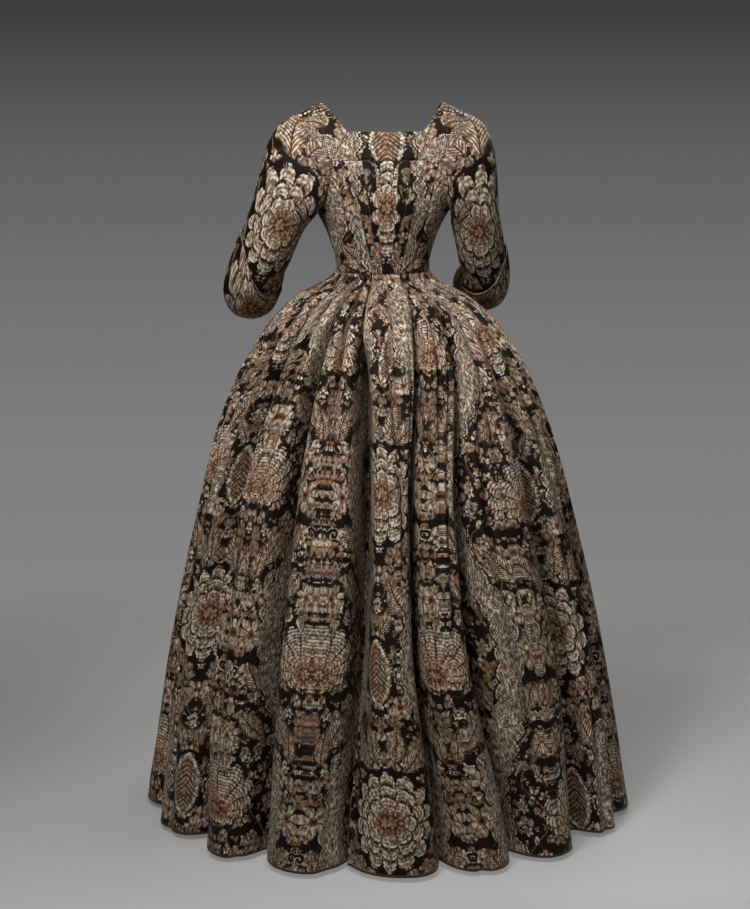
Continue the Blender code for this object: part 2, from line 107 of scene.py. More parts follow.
class Edge(Enum):
    """How a piece's cut edge is finished, with its cloth's place among the materials."""

    TURNED = 0
    BOUND = 2
    CORDED = 3


class Side(Enum):
    """The wearer's side, with the sign that places a left-hand cut on it."""

    LEFT = 1.0
    RIGHT = -1.0

    @property
    def word(self) -> str:
        """The side's name in lower case, as the nodes spell it."""
        return self.name.lower()


def lerp(start: Value, end: Value, share: Value) -> Value:
    """Returns the value at a share of the way from start to end.

    Args:
        start: value at share 0.
        end: value at share 1.
        share: how far along, 0 to 1.

    Returns:
        The value between the two.
    """
    return start + (end - start) * share


def smooth(share: Value) -> Value:
    """Returns a share from 0 to 1 that starts and ends gently.

    Args:
        share: any number or array, held to 0 and 1.

    Returns:
        The eased share.
    """
    share = np.clip(share, 0.0, 1.0)
    return share * share * (3.0 - 2.0 * share)


class SizeTable:
    """A table of sizes over height, read on a smooth curve through its rows."""

    def __init__(self, columns: Sequence[str], rows: Sequence[Sequence[float]]) -> None:
        """Keeps the rows and works out the curve's slopes.

        Args:
            columns: names of the columns after the height.
            rows: height and sizes, from the lowest row up.
        """
        self.columns = list(columns)
        self.heights = np.array([row[0] for row in rows])
        self.values = np.array([row[1:] for row in rows])
        self.slopes = self._slopes()

    def _slopes(self) -> Array:
        """Returns slopes at the rows that never make the curve overshoot."""
        steps = np.diff(self.heights)[:, None]
        rates = np.diff(self.values, axis=0) / steps
        slopes = np.zeros_like(self.values)
        slopes[0], slopes[-1] = rates[0], rates[-1]
        before, after = rates[:-1], rates[1:]
        same = before * after > 0.0
        total = np.where(same, before + after, 1.0)
        slopes[1:-1] = np.where(same, 2.0 * before * after / total, 0.0)
        return slopes

    def read(self, height: Value, column: str) -> Array:
        """Returns a column's size at each height.

        Args:
            height: heights above the floor, held to the table's range.
            column: the column's name.

        Returns:
            An array of the same shape.
        """
        place = self.columns.index(column)
        height = np.clip(np.asarray(height, float), self.heights[0], self.heights[-1])
        low = np.clip(np.searchsorted(self.heights, height, "right") - 1, 0, len(self.heights) - 2)
        span = self.heights[low + 1] - self.heights[low]
        s = (height - self.heights[low]) / span
        start, end = self.values[low, place], self.values[low + 1, place]
        rise, fall = self.slopes[low, place] * span, self.slopes[low + 1, place] * span
        curve = start * (2 * s**3 - 3 * s**2 + 1) + rise * (s**3 - 2 * s**2 + s)
        return curve + end * (3 * s**2 - 2 * s**3) + fall * (s**3 - s**2)


def above_floor(x: Array, y: Array, height: Array) -> Array:
    """Returns points given by their height above the floor, in the gown's own frame.

    Args:
        x: sideways places.
        y: places from front to back.
        height: heights above the floor.

    Returns:
        An array with a last axis of three.
    """
    x, y, height = np.broadcast_arrays(x, y, height)
    return np.stack([x, y, height - SHOULDER_HEIGHT], axis=-1)


def unit(ways: Array) -> Array:
    """Returns the directions with a length of one."""
    return ways / np.maximum(np.linalg.norm(ways, axis=-1, keepdims=True), 1e-12)


def along(points: Array, axis: int) -> Array:
    """Returns the length of cloth from the first row or column to each point.

    Args:
        points: a grid of points.
        axis: 0 to measure up the rows, 1 across the columns.

    Returns:
        A grid of lengths that starts at 0.
    """
    steps = np.linalg.norm(np.diff(points, axis=axis), axis=-1)
    start = np.zeros_like(np.take(steps, [0], axis=axis))
    return np.concatenate([start, np.cumsum(steps, axis=axis)], axis=axis)


def through(points: Array, places: Array, closed: bool = False) -> Array:
    """Returns points on a smooth curve through the given ones.

    Args:
        points: points, or rows of points, along the first axis.
        places: where to read the curve, counted in points.
        closed: True where the last point leads back to the first.

    Returns:
        One point or row for each place.
    """
    count = len(points)
    index = np.floor(places).astype(int)
    if not closed:
        index = np.clip(index, 0, count - 2)
    share = (places - index).reshape([-1] + [1] * (points.ndim - 1))

    def near(step: int) -> Array:
        """Returns the point so many steps on from each place's own."""
        found = index + step
        return points[found % count if closed else np.clip(found, 0, count - 1)]

    before, start, end, after = near(-1), near(0), near(1), near(2)
    value = start * 2.0 + (end - before) * share
    value = value + (before * 2.0 - start * 5.0 + end * 4.0 - after) * share**2
    value = value + (start * 3.0 - before - end * 3.0 + after) * share**3
    return value * 0.5


@dataclass(frozen=True)
class TorsoForm:
    """The bodice's outer face: a rounded ring that closes to the shoulder line."""

    power: float = 2.3
    widening: float = 0.75
    ridge_start: float = 0.118
    ridge_fall: float = 0.46
    rings: SizeTable = SizeTable(
        ("half_width", "back", "front"),
        (
            (1.068, 0.0915, 0.0880, 0.0930),
            (1.086, 0.0922, 0.0888, 0.0950),
            (1.112, 0.0980, 0.0915, 0.1010),
            (1.140, 0.1070, 0.0955, 0.1090),
            (1.166, 0.1190, 0.0995, 0.1160),
            (1.190, 0.1330, 0.1030, 0.1200),
        ),
    )

    def shoulder_line(self, x: Array) -> Array:
        """Returns the height of the shoulder line over each half width."""
        return SHOULDER_HEIGHT - self.ridge_fall * np.maximum(0.0, np.abs(x) - self.ridge_start)

    def half_width(self, height: Array) -> Array:
        """Returns the ring's half width, which goes on widening above the underarm."""
        extra = np.maximum(0.0, height - UNDERARM_HEIGHT)
        return self.rings.read(height, "half_width") + self.widening * extra

    def depth(self, at_back: Array, height: Value) -> Array:
        """Returns the ring's depth at each height, on the back where at_back, else in front."""
        return np.where(at_back, self.rings.read(height, "back"), self.rings.read(height, "front"))

    def at(self, x: Array, height: Array, facing: Value) -> Array:
        """Returns points of the outer face.

        Args:
            x: sideways places.
            height: heights above the floor.
            facing: 1 on the back, -1 on the front.

        Returns:
            Points in the gown's frame.
        """
        depth = self.depth(np.asarray(facing) > 0.0, height)
        rise = np.maximum(0.0, height - UNDERARM_HEIGHT)
        rise = rise / (self.shoulder_line(x) - UNDERARM_HEIGHT)
        closing = np.sqrt(np.maximum(0.0, 1.0 - rise * rise))
        across = np.minimum(np.abs(x) / self.half_width(height), 1.0)
        round_off = np.maximum(0.0, 1.0 - across**self.power) ** (1.0 / self.power)
        return above_floor(x, facing * depth * closing * round_off, height)

    def round(self, angle: Array, height: Array) -> Array:
        """Returns points at an angle from the centre back (0) by the side (90) to the front."""
        across = np.abs(np.sin(np.radians(angle))) ** (2.0 / self.power)
        facing = np.where(angle <= 90.0, 1.0, -1.0)
        return self.at(across * self.half_width(height), height, facing)

    def reach(self, side: Array, back: Array, height: float) -> Array:
        """Returns how far the outer face lies from the middle in given directions.

        Args:
            side: sideways part of each direction.
            back: its part towards the back.
            height: height above the floor.

        Returns:
            The distances.
        """
        depth = self.depth(back > 0.0, height)
        across = np.abs(side) / self.rings.read(height, "half_width")
        ring = across**self.power + (np.abs(back) / depth) ** self.power
        return ring ** (-1.0 / self.power)

    def angle_of(self, x: Array, height: Array, facing: float) -> Array:
        """Returns the angle round the torso at which its outer face has a half width x."""
        across = np.minimum(x / self.half_width(height), 1.0) ** (self.power / 2.0)
        angle = np.degrees(np.arcsin(across))
        return angle if facing > 0 else 180.0 - angle

    def normal(self, points: Array) -> Array:
        """Returns the direction out of the torso at points of its outer face."""
        height = points[..., 2] + SHOULDER_HEIGHT
        depth = self.depth(points[..., 1] >= 0.0, height)
        rise = np.maximum(0.0, height - UNDERARM_HEIGHT)
        tall = self.shoulder_line(points[..., 0]) - UNDERARM_HEIGHT
        half = self.half_width(height)
        across = np.abs(points[..., 0]) / half
        out = [
            np.copysign(across ** (self.power - 1.0), points[..., 0]) / half,
            points[..., 1] / depth**2,
            rise / tall**2,
        ]
        return unit(np.stack(out, axis=-1))


TORSO = TorsoForm()

BACK_SEAMS = SizeTable(
    ("pleats", "side_back"),
    (
        (1.068, 0.0250, 0.0500),
        (1.086, 0.0290, 0.0560),
        (1.112, 0.0350, 0.0630),
        (1.140, 0.0415, 0.0700),
        (1.166, 0.0470, 0.0765),
        (1.190, 0.0520, 0.0825),
        (1.225, 0.0600, 0.0905),
        (1.270, 0.0695, 0.1005),
        (1.286, 0.0730, 0.1035),
    ),
)

ARMHOLE = SizeTable(
    ("edge",),
    (
        (1.068, 0.0850),
        (1.190, 0.1270),
        (1.206, 0.1190),
        (1.228, 0.1115),
        (1.250, 0.1065),
        (1.270, 0.1045),
    ),
)

ROBING = SizeTable(
    ("inner", "outer"),
    (
        (1.068, 0.0180, 0.0540),
        (1.086, 0.0270, 0.0640),
        (1.112, 0.0400, 0.0780),
        (1.140, 0.0530, 0.0920),
        (1.166, 0.0650, 0.1050),
        (1.190, 0.0760, 0.1180),
        (1.205, 0.0810, 0.1230),
    ),
)

# Rows across the robing over the shoulder: facing, inner turn and half width, outer turn and half
# width, and share of the rise. Turns are degrees from the underarm (0) to the shoulder line (90).
STRAP = (
    (-1.0, 22.0, 0.0870, 20.0, 0.1260, 1.0),
    (-1.0, 45.0, 0.0980, 41.0, 0.1380, 1.0),
    (-1.0, 70.0, 0.1110, 62.0, 0.1600, 1.0),
    (1.0, 90.0, 0.1160, 90.0, 0.1750, 1.0),
    (1.0, 73.0, 0.1080, 60.0, 0.1570, 0.7),
    (1.0, 60.0, 0.0930, 42.0, 0.1340, 0.3),
    (1.0, 48.0, 0.0735, 28.6, 0.1035, 0.0),
)


def strap_points(row: Sequence[float], share: Value) -> Array:
    """Returns points of the robing over the shoulder.

    Args:
        row: a row of STRAP.
        share: places from the outer edge (0) to the inner (1).

    Returns:
        Points in the gown's frame.
    """
    facing, inner_turn, inner, outer_turn, outer, rise = row
    x = lerp(outer, inner, share)
    turn = np.radians(lerp(outer_turn, inner_turn, share))
    height = UNDERARM_HEIGHT + (TORSO.shoulder_line(x) - UNDERARM_HEIGHT) * np.sin(turn)
    point = TORSO.at(x, height, facing)
    return point + ROBING_RISE * rise * TORSO.normal(point)


class Term:
    """A number inside a material's drafting, which arithmetic joins to others."""

    def __init__(self, draft: Draft, socket: bpy.types.NodeSocket) -> None:
        """Keeps the drafting and the socket that gives the number."""
        self.draft = draft
        self.socket = socket

    def __add__(self, other: Number) -> Term:
        """Returns the sum."""
        return self.draft.math("ADD", self, other)

    def __sub__(self, other: Number) -> Term:
        """Returns the difference."""
        return self.draft.math("SUBTRACT", self, other)

    def __rsub__(self, other: Number) -> Term:
        """Returns the other number less this one."""
        return self.draft.math("SUBTRACT", other, self)

    def __mul__(self, other: Number) -> Term:
        """Returns the product."""
        return self.draft.math("MULTIPLY", self, other)

    def __truediv__(self, other: Number) -> Term:
        """Returns the quotient."""
        return self.draft.math("DIVIDE", self, other)

    def __pow__(self, other: Number) -> Term:
        """Returns the power."""
        return self.draft.math("POWER", self, other)

    def __abs__(self) -> Term:
        """Returns the size without its sign."""
        return self.draft.math("ABSOLUTE", self)

    __radd__ = __add__
    __rmul__ = __mul__


Number = Term | float


class Draft:
    """Draws a material's nodes as a point paper: sums, shapes and colours."""

    def __init__(self, name: str) -> None:
        """Makes the material and its shader.

        Args:
            name: the material's name.
        """
        self.material = bpy.data.materials.new(name)
        self.material.use_nodes = True
        self.tree = self.material.node_tree
        self.shader = self.tree.nodes["Principled BSDF"]

    def node(self, kind: str, **settings: object) -> bpy.types.Node:
        """Returns a new node of this kind with its settings made."""
        node = self.tree.nodes.new(kind)
        for name, value in settings.items():
            setattr(node, name, value)
        return node

    def plug(self, socket: bpy.types.NodeSocket, value: object) -> None:
        """Feeds a socket from a term or sets it to a plain value."""
        if isinstance(value, Term):
            self.tree.links.new(value.socket, socket)
        else:
            socket.default_value = value

    def math(self, operation: str, *values: Number, clamp: bool = False) -> Term:
        """Returns the result of a Math node.

        Args:
            operation: the node's operation.
            values: its one to three inputs.
            clamp: True to hold the result to 0 and 1.

        Returns:
            The result.
        """
        node = self.node("ShaderNodeMath", operation=operation, use_clamp=clamp)
        for socket, value in zip(node.inputs, values):
            self.plug(socket, value)
        return Term(self, node.outputs[0])

    def sine(self, value: Number) -> Term:
        """Returns the sine of a number in radians."""
        return self.math("SINE", value)

    def cover(self, outside: Term, soft: float) -> Term:
        """Returns 1 where a distance is inside, 0 outside, with a soft edge.

        Args:
            outside: how far outside a shape's edge, negative inside.
            soft: width of the soft edge, in the distance's own units.

        Returns:
            The cover, 0 to 1.
        """
        return self.math("MULTIPLY_ADD", outside, -1.0 / soft, 0.5, clamp=True)

    def blend(self, share: Number, under: Number, over: Number) -> Term:
        """Returns the number between two others at a share."""
        node = self.node("ShaderNodeMix", data_type="FLOAT")
        for place, value in ((0, share), (2, under), (3, over)):
            self.plug(node.inputs[place], value)
        return Term(self, node.outputs[0])

    def tint(self, share: Number, under: object, over: object) -> Term:
        """Returns the colour between two others at a share."""
        node = self.node("ShaderNodeMix", data_type="RGBA")
        for place, value in ((0, share), (6, under), (7, over)):
            self.plug(node.inputs[place], value)
        return Term(self, node.outputs[2])

    def ramp(self, share: Term, stops: Sequence[tuple[float, Colour]]) -> Term:
        """Returns a colour read along stops."""
        node = self.node("ShaderNodeValToRGB")
        elements = node.color_ramp.elements
        while len(elements) < len(stops):
            elements.new(1.0)
        for element, (place, colour) in zip(elements, stops):
            element.position = place
            element.color = (*colour, 1.0)
        self.plug(node.inputs[0], share)
        return Term(self, node.outputs[0])

    def cloth_place(self) -> tuple[Term, Term]:
        """Returns how far along the weft and the warp a point of the cloth lies, in metres."""
        return self.parts(self.node("ShaderNodeUVMap", uv_map="cloth").outputs[0])

    def parts(self, vector: bpy.types.NodeSocket) -> tuple[Term, Term]:
        """Returns the first two parts of a vector."""
        node = self.node("ShaderNodeSeparateXYZ")
        self.tree.links.new(vector, node.inputs[0])
        return Term(self, node.outputs[0]), Term(self, node.outputs[1])

    def joined(self, u: Number, v: Number) -> Term:
        """Returns two numbers as one vector."""
        node = self.node("ShaderNodeCombineXYZ")
        self.plug(node.inputs[0], u)
        self.plug(node.inputs[1], v)
        return Term(self, node.outputs[0])

    def ribs(self, u: Term, v: Term, thread: float) -> Term:
        """Returns the height of a plain weave whose threads are this far apart, -1 to 1."""
        return self.sine(u * (math.tau / thread)) * self.sine(v * (math.tau / thread))

    def emboss(self, height: Term, strength: float, distance: float) -> None:
        """Gives the surface a fine relief.

        Args:
            height: the relief's height.
            strength: how strongly it shows, 0 to 1.
            distance: how far height 1 stands off, in metres.
        """
        bump = self.node("ShaderNodeBump")
        bump.inputs["Strength"].default_value = strength
        bump.inputs["Distance"].default_value = distance
        self.plug(bump.inputs["Height"], height)
        self.tree.links.new(bump.outputs[0], self.shader.inputs["Normal"])

    def noise(self, vector: Term, scale: float, detail: float = 2.0) -> Term:
        """Returns soft noise, 0 to 1."""
        node = self.node("ShaderNodeTexNoise", noise_dimensions="2D")
        self.plug(node.inputs["Vector"], vector)
        node.inputs["Scale"].default_value = scale
        node.inputs["Detail"].default_value = detail
        return Term(self, node.outputs[0])


@dataclass
class Weaving:
    """The tone and the warmth of the woven colours, built up motif by motif.

    Its across and up are a point's places along weft and warp in the half repeat.
    """

    draft: Draft
    across: Term
    up: Term
    jag: Term
    tone: Number = 0.02
    warmth: Number = 0.25

    def lay(self, cover: Number, tone: Number, warmth: Number) -> None:
        """Weaves a motif over what is there.

        Args:
            cover: where the motif lies, 0 to 1.
            tone: its lightness, 0 dark to 1 ivory.
            warmth: 0 grey beige to 1 burnt orange.
        """
        self.tone = self.draft.blend(cover, self.tone, tone)
        self.warmth = self.draft.blend(cover, self.warmth, warmth)

    def inside(self, edge: Term, soft: float = 0.0016) -> Term:
        """Returns the cover of a motif, whose edge the brocading threads leave toothed.

        Args:
            edge: how far outside the motif a point lies, negative inside.
            soft: width of the soft edge.

        Returns:
            The cover, 0 to 1.
        """
        return self.draft.cover(edge + self.jag, soft)

    def local(self, place: Place) -> tuple[Term, Term]:
        """Returns how far a point lies from a motif's own centre, along its own axes."""
        side, rise = self.across - place.u, self.up - place.v
        if place.turn == 0.0:
            return side, rise
        cos, sin = math.cos(math.radians(place.turn)), math.sin(math.radians(place.turn))
        return side * cos + rise * sin, rise * cos - side * sin

    def polar(self, side: Term, rise: Term) -> tuple[Term, Term]:
        """Returns the distance from a motif's centre and the angle round it."""
        reach = self.draft.math("SQRT", side * side + rise * rise)
        return reach, self.draft.math("ARCTAN2", side, rise)


@dataclass(frozen=True)
class Place:
    """Where a motif lies in the half repeat, and how it is turned."""

    u: float
    v: float
    turn: float = 0.0


@dataclass(frozen=True)
class Brocade:
    """A lace-pattern silk: a near-black satin ground with ivory, beige, tan and orange motifs.

    The pattern mirrors about the breadth's middle and edges, so only half a repeat is drafted.
    """

    name: str = "brocade"
    half_width: float = 0.250
    height: float = 0.600
    bend: float = 0.026
    unevenness: float = 0.007
    teeth: float = 0.0062
    thread: float = 0.0011
    lace_middle: float = 0.128
    lace_swing: float = 0.052
    lace_start: float = 0.13
    lace_half_width: float = 0.0245
    scallop: float = 0.0375
    scallop_rise: float = 0.0100
    picot: float = 0.0050
    picot_rise: float = 0.0010
    net: float = 0.0056
    dark: Colour = (0.0060, 0.0048, 0.0040)
    umber: Colour = (0.048, 0.032, 0.021)
    drab: Colour = (0.150, 0.114, 0.080)
    beige: Colour = (0.380, 0.315, 0.236)
    ivory: Colour = (0.760, 0.680, 0.560)
    rust: Colour = (0.130, 0.052, 0.024)
    orange: Colour = (0.370, 0.180, 0.086)
    peach: Colour = (0.560, 0.375, 0.235)

    def material(self) -> bpy.types.Material:
        """Drafts the whole pattern and the satin's finish.

        Returns:
            The finished material.
        """
        draft = Draft(self.name)
        u, v = draft.cloth_place()
        flat, turned = draft.joined(u, v), draft.joined(v, u)
        shift = (draft.noise(flat, 42.0) - 0.5) * self.unevenness
        lift = (draft.noise(turned, 38.0) - 0.5) * self.unevenness
        bend = (draft.noise(turned, 7.0, 0.0) - 0.5) * self.bend
        across = draft.math("PINGPONG", u + shift, self.half_width) + bend
        up = draft.math("WRAP", v + lift, self.height, 0.0)
        jag = (draft.noise(flat, 300.0, 1.0) - 0.5) * self.teeth
        weaving = Weaving(draft, across, up, jag)
        self.ground(weaving)
        self.lace(weaving)
        self.flowers(weaving)
        self.finish(weaving, flat, u, v)
        return draft.material

    def ground(self, weaving: Weaving) -> None:
        """Weaves stems, small leaves, berries and sprigs over the dark ground."""
        draft, across, up = weaving.draft, weaving.across, weaving.up
        sway = draft.sine(up * (math.tau / 0.15)) * 0.30
        stem = abs(draft.sine((across / 0.083 + sway) * math.pi))
        weaving.lay(draft.cover(stem - 0.05, 0.05), 0.55, 0.25)
        twig = abs(draft.sine((up / 0.075 + across / 0.052) * math.pi))
        weaving.lay(draft.cover(twig - 0.04, 0.06) * 0.7, 0.42, 0.45)
        for pitch, petals, size, warm in SPRIGS:
            cell = draft.node("ShaderNodeTexVoronoi", voronoi_dimensions="2D")
            cell.inputs["Scale"].default_value = 1.0 / pitch
            cell.inputs["Randomness"].default_value = 0.95
            draft.plug(cell.inputs["Vector"], draft.joined(across, up))
            chance = draft.node("ShaderNodeSeparateColor")
            draft.tree.links.new(cell.outputs["Color"], chance.inputs[0])
            luck = Term(draft, chance.outputs[0])
            middle, height = draft.parts(cell.outputs["Position"])
            reach, angle = weaving.polar(across - middle, up - height)
            lobes = abs(draft.sine(angle * (petals / 2.0) + luck * 9.0))
            edge = (lobes * 0.70 + 0.30) * size * (luck * 0.9 + 0.55)
            shade = draft.blend(luck, 1.00, 0.55)
            weaving.lay(weaving.inside(reach - edge), shade, luck * warm)
            weaving.lay(draft.cover(reach - size * 0.20, 0.0015), 0.22, 0.8)

    def lace(self, weaving: Weaving) -> None:
        """Weaves the winding ribbon of lace: a scalloped edge, a net and a row of rosettes."""
        draft, across, up = weaving.draft, weaving.across, weaving.up
        wind = draft.math("COSINE", (up - self.lace_start) * (math.tau / self.height))
        off = across - (wind * self.lace_swing + self.lace_middle)
        scallop = abs(draft.sine(up * (math.pi / self.scallop)))
        picots = draft.sine(up * (math.tau / self.picot)) * self.picot_rise
        edge = abs(off) - (scallop * self.scallop_rise + self.lace_half_width) - picots
        weaving.lay(draft.cover(edge - 0.0045, 0.0020), 0.01, 0.2)
        weaving.lay(weaving.inside(edge), 0.98, 0.0)
        net = draft.math(
            "MAXIMUM",
            draft.sine((off + up) * (math.tau / self.net)),
            draft.sine((off - up) * (math.tau / self.net)),
        )
        inner = draft.cover(edge + 0.0052, 0.0018)
        weaving.lay(inner, draft.blend(draft.cover(net - 0.50, 0.6), 0.46, 0.92), 0.05)
        row = draft.math("WRAP", up, self.scallop, -self.scallop)
        reach, angle = weaving.polar(off, row * 0.80)
        petal = abs(draft.math("COSINE", angle * 4.0)) * 0.0055 + 0.0100
        weaving.lay(weaving.inside(reach - petal) * inner, 0.96, 0.10)
        weaving.lay(draft.cover(abs(reach - 0.0078) - 0.0008, 0.0014) * inner, 0.30, 0.4)
        weaving.lay(draft.cover(reach - 0.0045, 0.0014) * inner, 0.40, 1.0)
        weaving.lay(draft.cover(abs(edge + 0.0042) - 0.0009, 0.0014), 0.08, 0.30)

    def flowers(self, weaving: Weaving) -> None:
        """Weaves the great blossoms, their leaves and the small flowers between them."""
        for place, length, width in LEAVES:
            self.leaf(weaving, place, length, width)
        for place, size, petals in SMALL_FLOWERS:
            self.small_flower(weaving, place, size, petals)
        for place, size in SCROLLS:
            self.scroll(weaving, place, size)
        self.blossom(weaving, Place(0.0, 0.130), 0.080)
        self.fan(weaving, Place(0.250, 0.395), 0.100, 14.0)
        self.bud(weaving, Place(0.0, 0.405), 0.032, 0.062)

    def leaf(self, weaving: Weaving, place: Place, length: float, width: float) -> None:
        """Weaves a toothed leaf with a dark rib and slanting hatching.

        Args:
            weaving: the pattern so far.
            place: the leaf's middle and turn.
            length: from stalk to tip.
            width: across its widest place.
        """
        draft = weaving.draft
        side, rise = weaving.local(place)
        share = draft.math("DIVIDE", rise + length / 2.0, length, clamp=True)
        belly = draft.sine(share**0.8 * math.pi)
        away = abs(side)
        hatch = draft.sine((rise - away * 1.1) * (math.tau / 0.0060))
        edge = away - belly * (width / 2.0) + hatch * 0.0026 + self.past_ends(draft, belly)
        weaving.lay(weaving.inside(edge), hatch * 0.30 + 0.66, 0.62 - away * 34.0)
        weaving.lay(draft.cover(away - 0.0010, 0.0014) * draft.cover(edge, 0.002), 0.06, 0.3)

    def past_ends(self, draft: Draft, belly: Term) -> Term:
        """Returns a distance that closes a long motif beyond its two points."""
        return draft.math("MAXIMUM", 0.007 - belly * 0.06, 0.0)

    def small_flower(self, weaving: Weaving, place: Place, size: float, petals: float) -> None:
        """Weaves a flower of one ring of petals with a warm eye.

        Args:
            weaving: the pattern so far.
            place: the flower's middle and turn.
            size: its radius.
            petals: how many petals it has.
        """
        draft = weaving.draft
        side, rise = weaving.local(place)
        reach, angle = weaving.polar(side, rise)
        lobes = abs(draft.sine(angle * (petals / 2.0)))
        edge = reach - (lobes**0.5 * 0.5 + 0.5) * size
        tone = 0.98 - draft.cover(lobes - 0.25, 0.3) * 0.6 - reach * (0.25 / size)
        weaving.lay(weaving.inside(edge), tone, 0.85 - reach * (0.9 / size))
        weaving.lay(draft.cover(reach - size * 0.27, 0.0016), 0.40, 1.0)
        weaving.lay(draft.cover(reach - size * 0.11, 0.0014), 0.05, 0.5)

    def scroll(self, weaving: Weaving, place: Place, size: float) -> None:
        """Weaves a tendril that winds in a spiral.

        Args:
            weaving: the pattern so far.
            place: the spiral's middle and turn.
            size: its radius.
        """
        draft = weaving.draft
        side, rise = weaving.local(place)
        reach, angle = weaving.polar(side, rise)
        coil = draft.math("FRACT", reach * (2.0 / size) - angle / math.tau)
        line = draft.cover(abs(coil - 0.5) - 0.13, 0.12)
        weaving.lay(line * draft.cover(reach - size, 0.002), 0.90, 0.05)

    def blossom(self, weaving: Weaving, place: Place, size: float) -> None:
        """Weaves a great feathered blossom: rings of barbed petals round a warm rosette.

        Args:
            weaving: the pattern so far.
            place: the blossom's middle and turn.
            size: its radius.
        """
        draft = weaving.draft
        side, rise = weaving.local(place)
        reach, angle = weaving.polar(side, rise * 0.86)
        weaving.lay(draft.cover(reach - size * 1.06, 0.003), 0.01, 0.3)
        for share, petals in BLOSSOM_RINGS:
            lobes = abs(draft.math("COSINE", angle * (petals / 2.0)))
            barbs = draft.sine(reach * (math.tau / 0.0062) - lobes * 5.0)
            edge = reach - (lobes**0.6 * 0.26 + 0.74) * size * share - barbs * 0.0012
            tone = edge * 13.0 + 0.96 + barbs * 0.20 - draft.cover(lobes - 0.14, 0.14) * 0.7
            weaving.lay(draft.cover(edge - 0.0026, 0.0016), 0.04, 0.5)
            weaving.lay(weaving.inside(edge), tone, 0.02 - edge * 22.0)
        self.rosette(weaving, reach, angle, size * 0.25)

    def rosette(self, weaving: Weaving, reach: Term, angle: Term, size: float) -> None:
        """Weaves the warm eye of a blossom: a ring of beads round a small star.

        Args:
            weaving: the pattern so far.
            reach: distance from the blossom's middle.
            angle: angle round it.
            size: the eye's radius.
        """
        draft = weaving.draft
        beads = draft.math("COSINE", angle * 12.0)
        weaving.lay(weaving.inside(reach - size), beads * 0.22 + 0.52, 1.0)
        weaving.lay(draft.cover(reach - size * 0.62, 0.0018), 0.14, 0.9)
        star = abs(draft.math("COSINE", angle * 3.0)) * (size * 0.30) + size * 0.22
        weaving.lay(draft.cover(reach - star, 0.0016), 0.70, 0.8)

    def fan(self, weaving: Weaving, place: Place, size: float, plumes: float) -> None:
        """Weaves a feathered carnation: plumes that spread upwards from a warm cup.

        Args:
            weaving: the pattern so far.
            place: the middle of the flower's cup.
            size: length of the longest plume.
            plumes: how many plumes a full turn would have.
        """
        draft = weaving.draft
        side, rise = weaving.local(place)
        reach, angle = weaving.polar(side, rise)
        lean = draft.math("COSINE", angle) * 0.32 + 0.62
        lobes = abs(draft.math("COSINE", angle * (plumes / 2.0)))
        barbs = draft.sine(reach * (math.tau / 0.0066) - lobes * 4.0)
        edge = reach - (lobes**0.7 * 0.34 + 0.66) * size * lean - barbs * 0.0022
        weaving.lay(draft.cover(edge - 0.0040, 0.003), 0.01, 0.3)
        tone = barbs * 0.24 + 0.78 - draft.cover(lobes - 0.18, 0.16) * 0.65
        weaving.lay(weaving.inside(edge), tone, 0.95 - reach * 13.0)
        self.rosette(weaving, reach, angle, size * 0.20)

    def bud(self, weaving: Weaving, place: Place, width: float, length: float) -> None:
        """Weaves a pointed seed head covered in scales.

        Args:
            weaving: the pattern so far.
            place: the seed head's middle and turn.
            width: half its width.
            length: half its length.
        """
        draft = weaving.draft
        side, rise = weaving.local(place)
        share = draft.math("DIVIDE", rise + length, length * 2.0, clamp=True)
        belly = draft.sine(share**0.85 * math.pi)
        away = abs(side)
        scales = draft.sine((rise + away * 0.9) * (math.tau / 0.0095))
        teeth = draft.sine((rise - away) * (math.tau / 0.0080))
        edge = away - belly**0.8 * width - teeth * 0.0022 + self.past_ends(draft, belly)
        weaving.lay(draft.cover(edge - 0.0035, 0.003), 0.01, 0.3)
        weaving.lay(weaving.inside(edge), 0.92, 0.0)
        inner = draft.cover(edge + 0.0075, 0.0018)
        weaving.lay(inner, scales * 0.26 + 0.52, 0.85 - away * 40.0)

    def finish(self, weaving: Weaving, flat: Term, u: Term, v: Term) -> None:
        """Colours the weaving and gives it threads, wear and a satin gloss.

        Args:
            weaving: the finished pattern.
            flat: place on the cloth as a vector.
            u: place along the weft.
            v: place along the warp.
        """
        draft = weaving.draft
        shading = draft.noise(draft.joined(u, v * 0.55), 190.0, 3.0)
        shading = draft.math("MULTIPLY_ADD", shading, 3.4, -1.20, clamp=True) * 0.66 + 0.50
        cloud = draft.noise(flat, 15.0, 4.0)
        tone = weaving.tone * shading * (cloud * 0.40 + 0.80)
        tone = draft.math("MAXIMUM", tone, 0.0)
        cool = draft.ramp(
            tone,
            (
                (0.0, self.dark),
                (0.22, self.umber),
                (0.50, self.drab),
                (0.75, self.beige),
                (1.0, self.ivory),
            ),
        )
        warm = draft.ramp(
            tone,
            (
                (0.0, self.dark),
                (0.25, self.rust),
                (0.60, self.orange),
                (1.0, self.peach),
            ),
        )
        flecks = (draft.noise(draft.joined(v, u), 75.0, 2.0) - 0.5) * 1.6
        warmth = draft.math("MULTIPLY", weaving.warmth + flecks, 0.72, clamp=True)
        draft.plug(draft.shader.inputs["Base Color"], draft.tint(warmth, cool, warm))
        gloss = draft.blend(draft.math("MINIMUM", tone * 2.0, 1.0), 0.44, 0.58)
        draft.plug(draft.shader.inputs["Roughness"], gloss)
        draft.shader.inputs["Specular IOR Level"].default_value = 0.08
        grain = draft.noise(draft.joined(u, v * 5.0), 420.0, 3.0)
        relief = draft.ribs(u, v, self.thread) * 0.3 + grain
        draft.emboss(relief, strength=0.60, distance=0.00040)


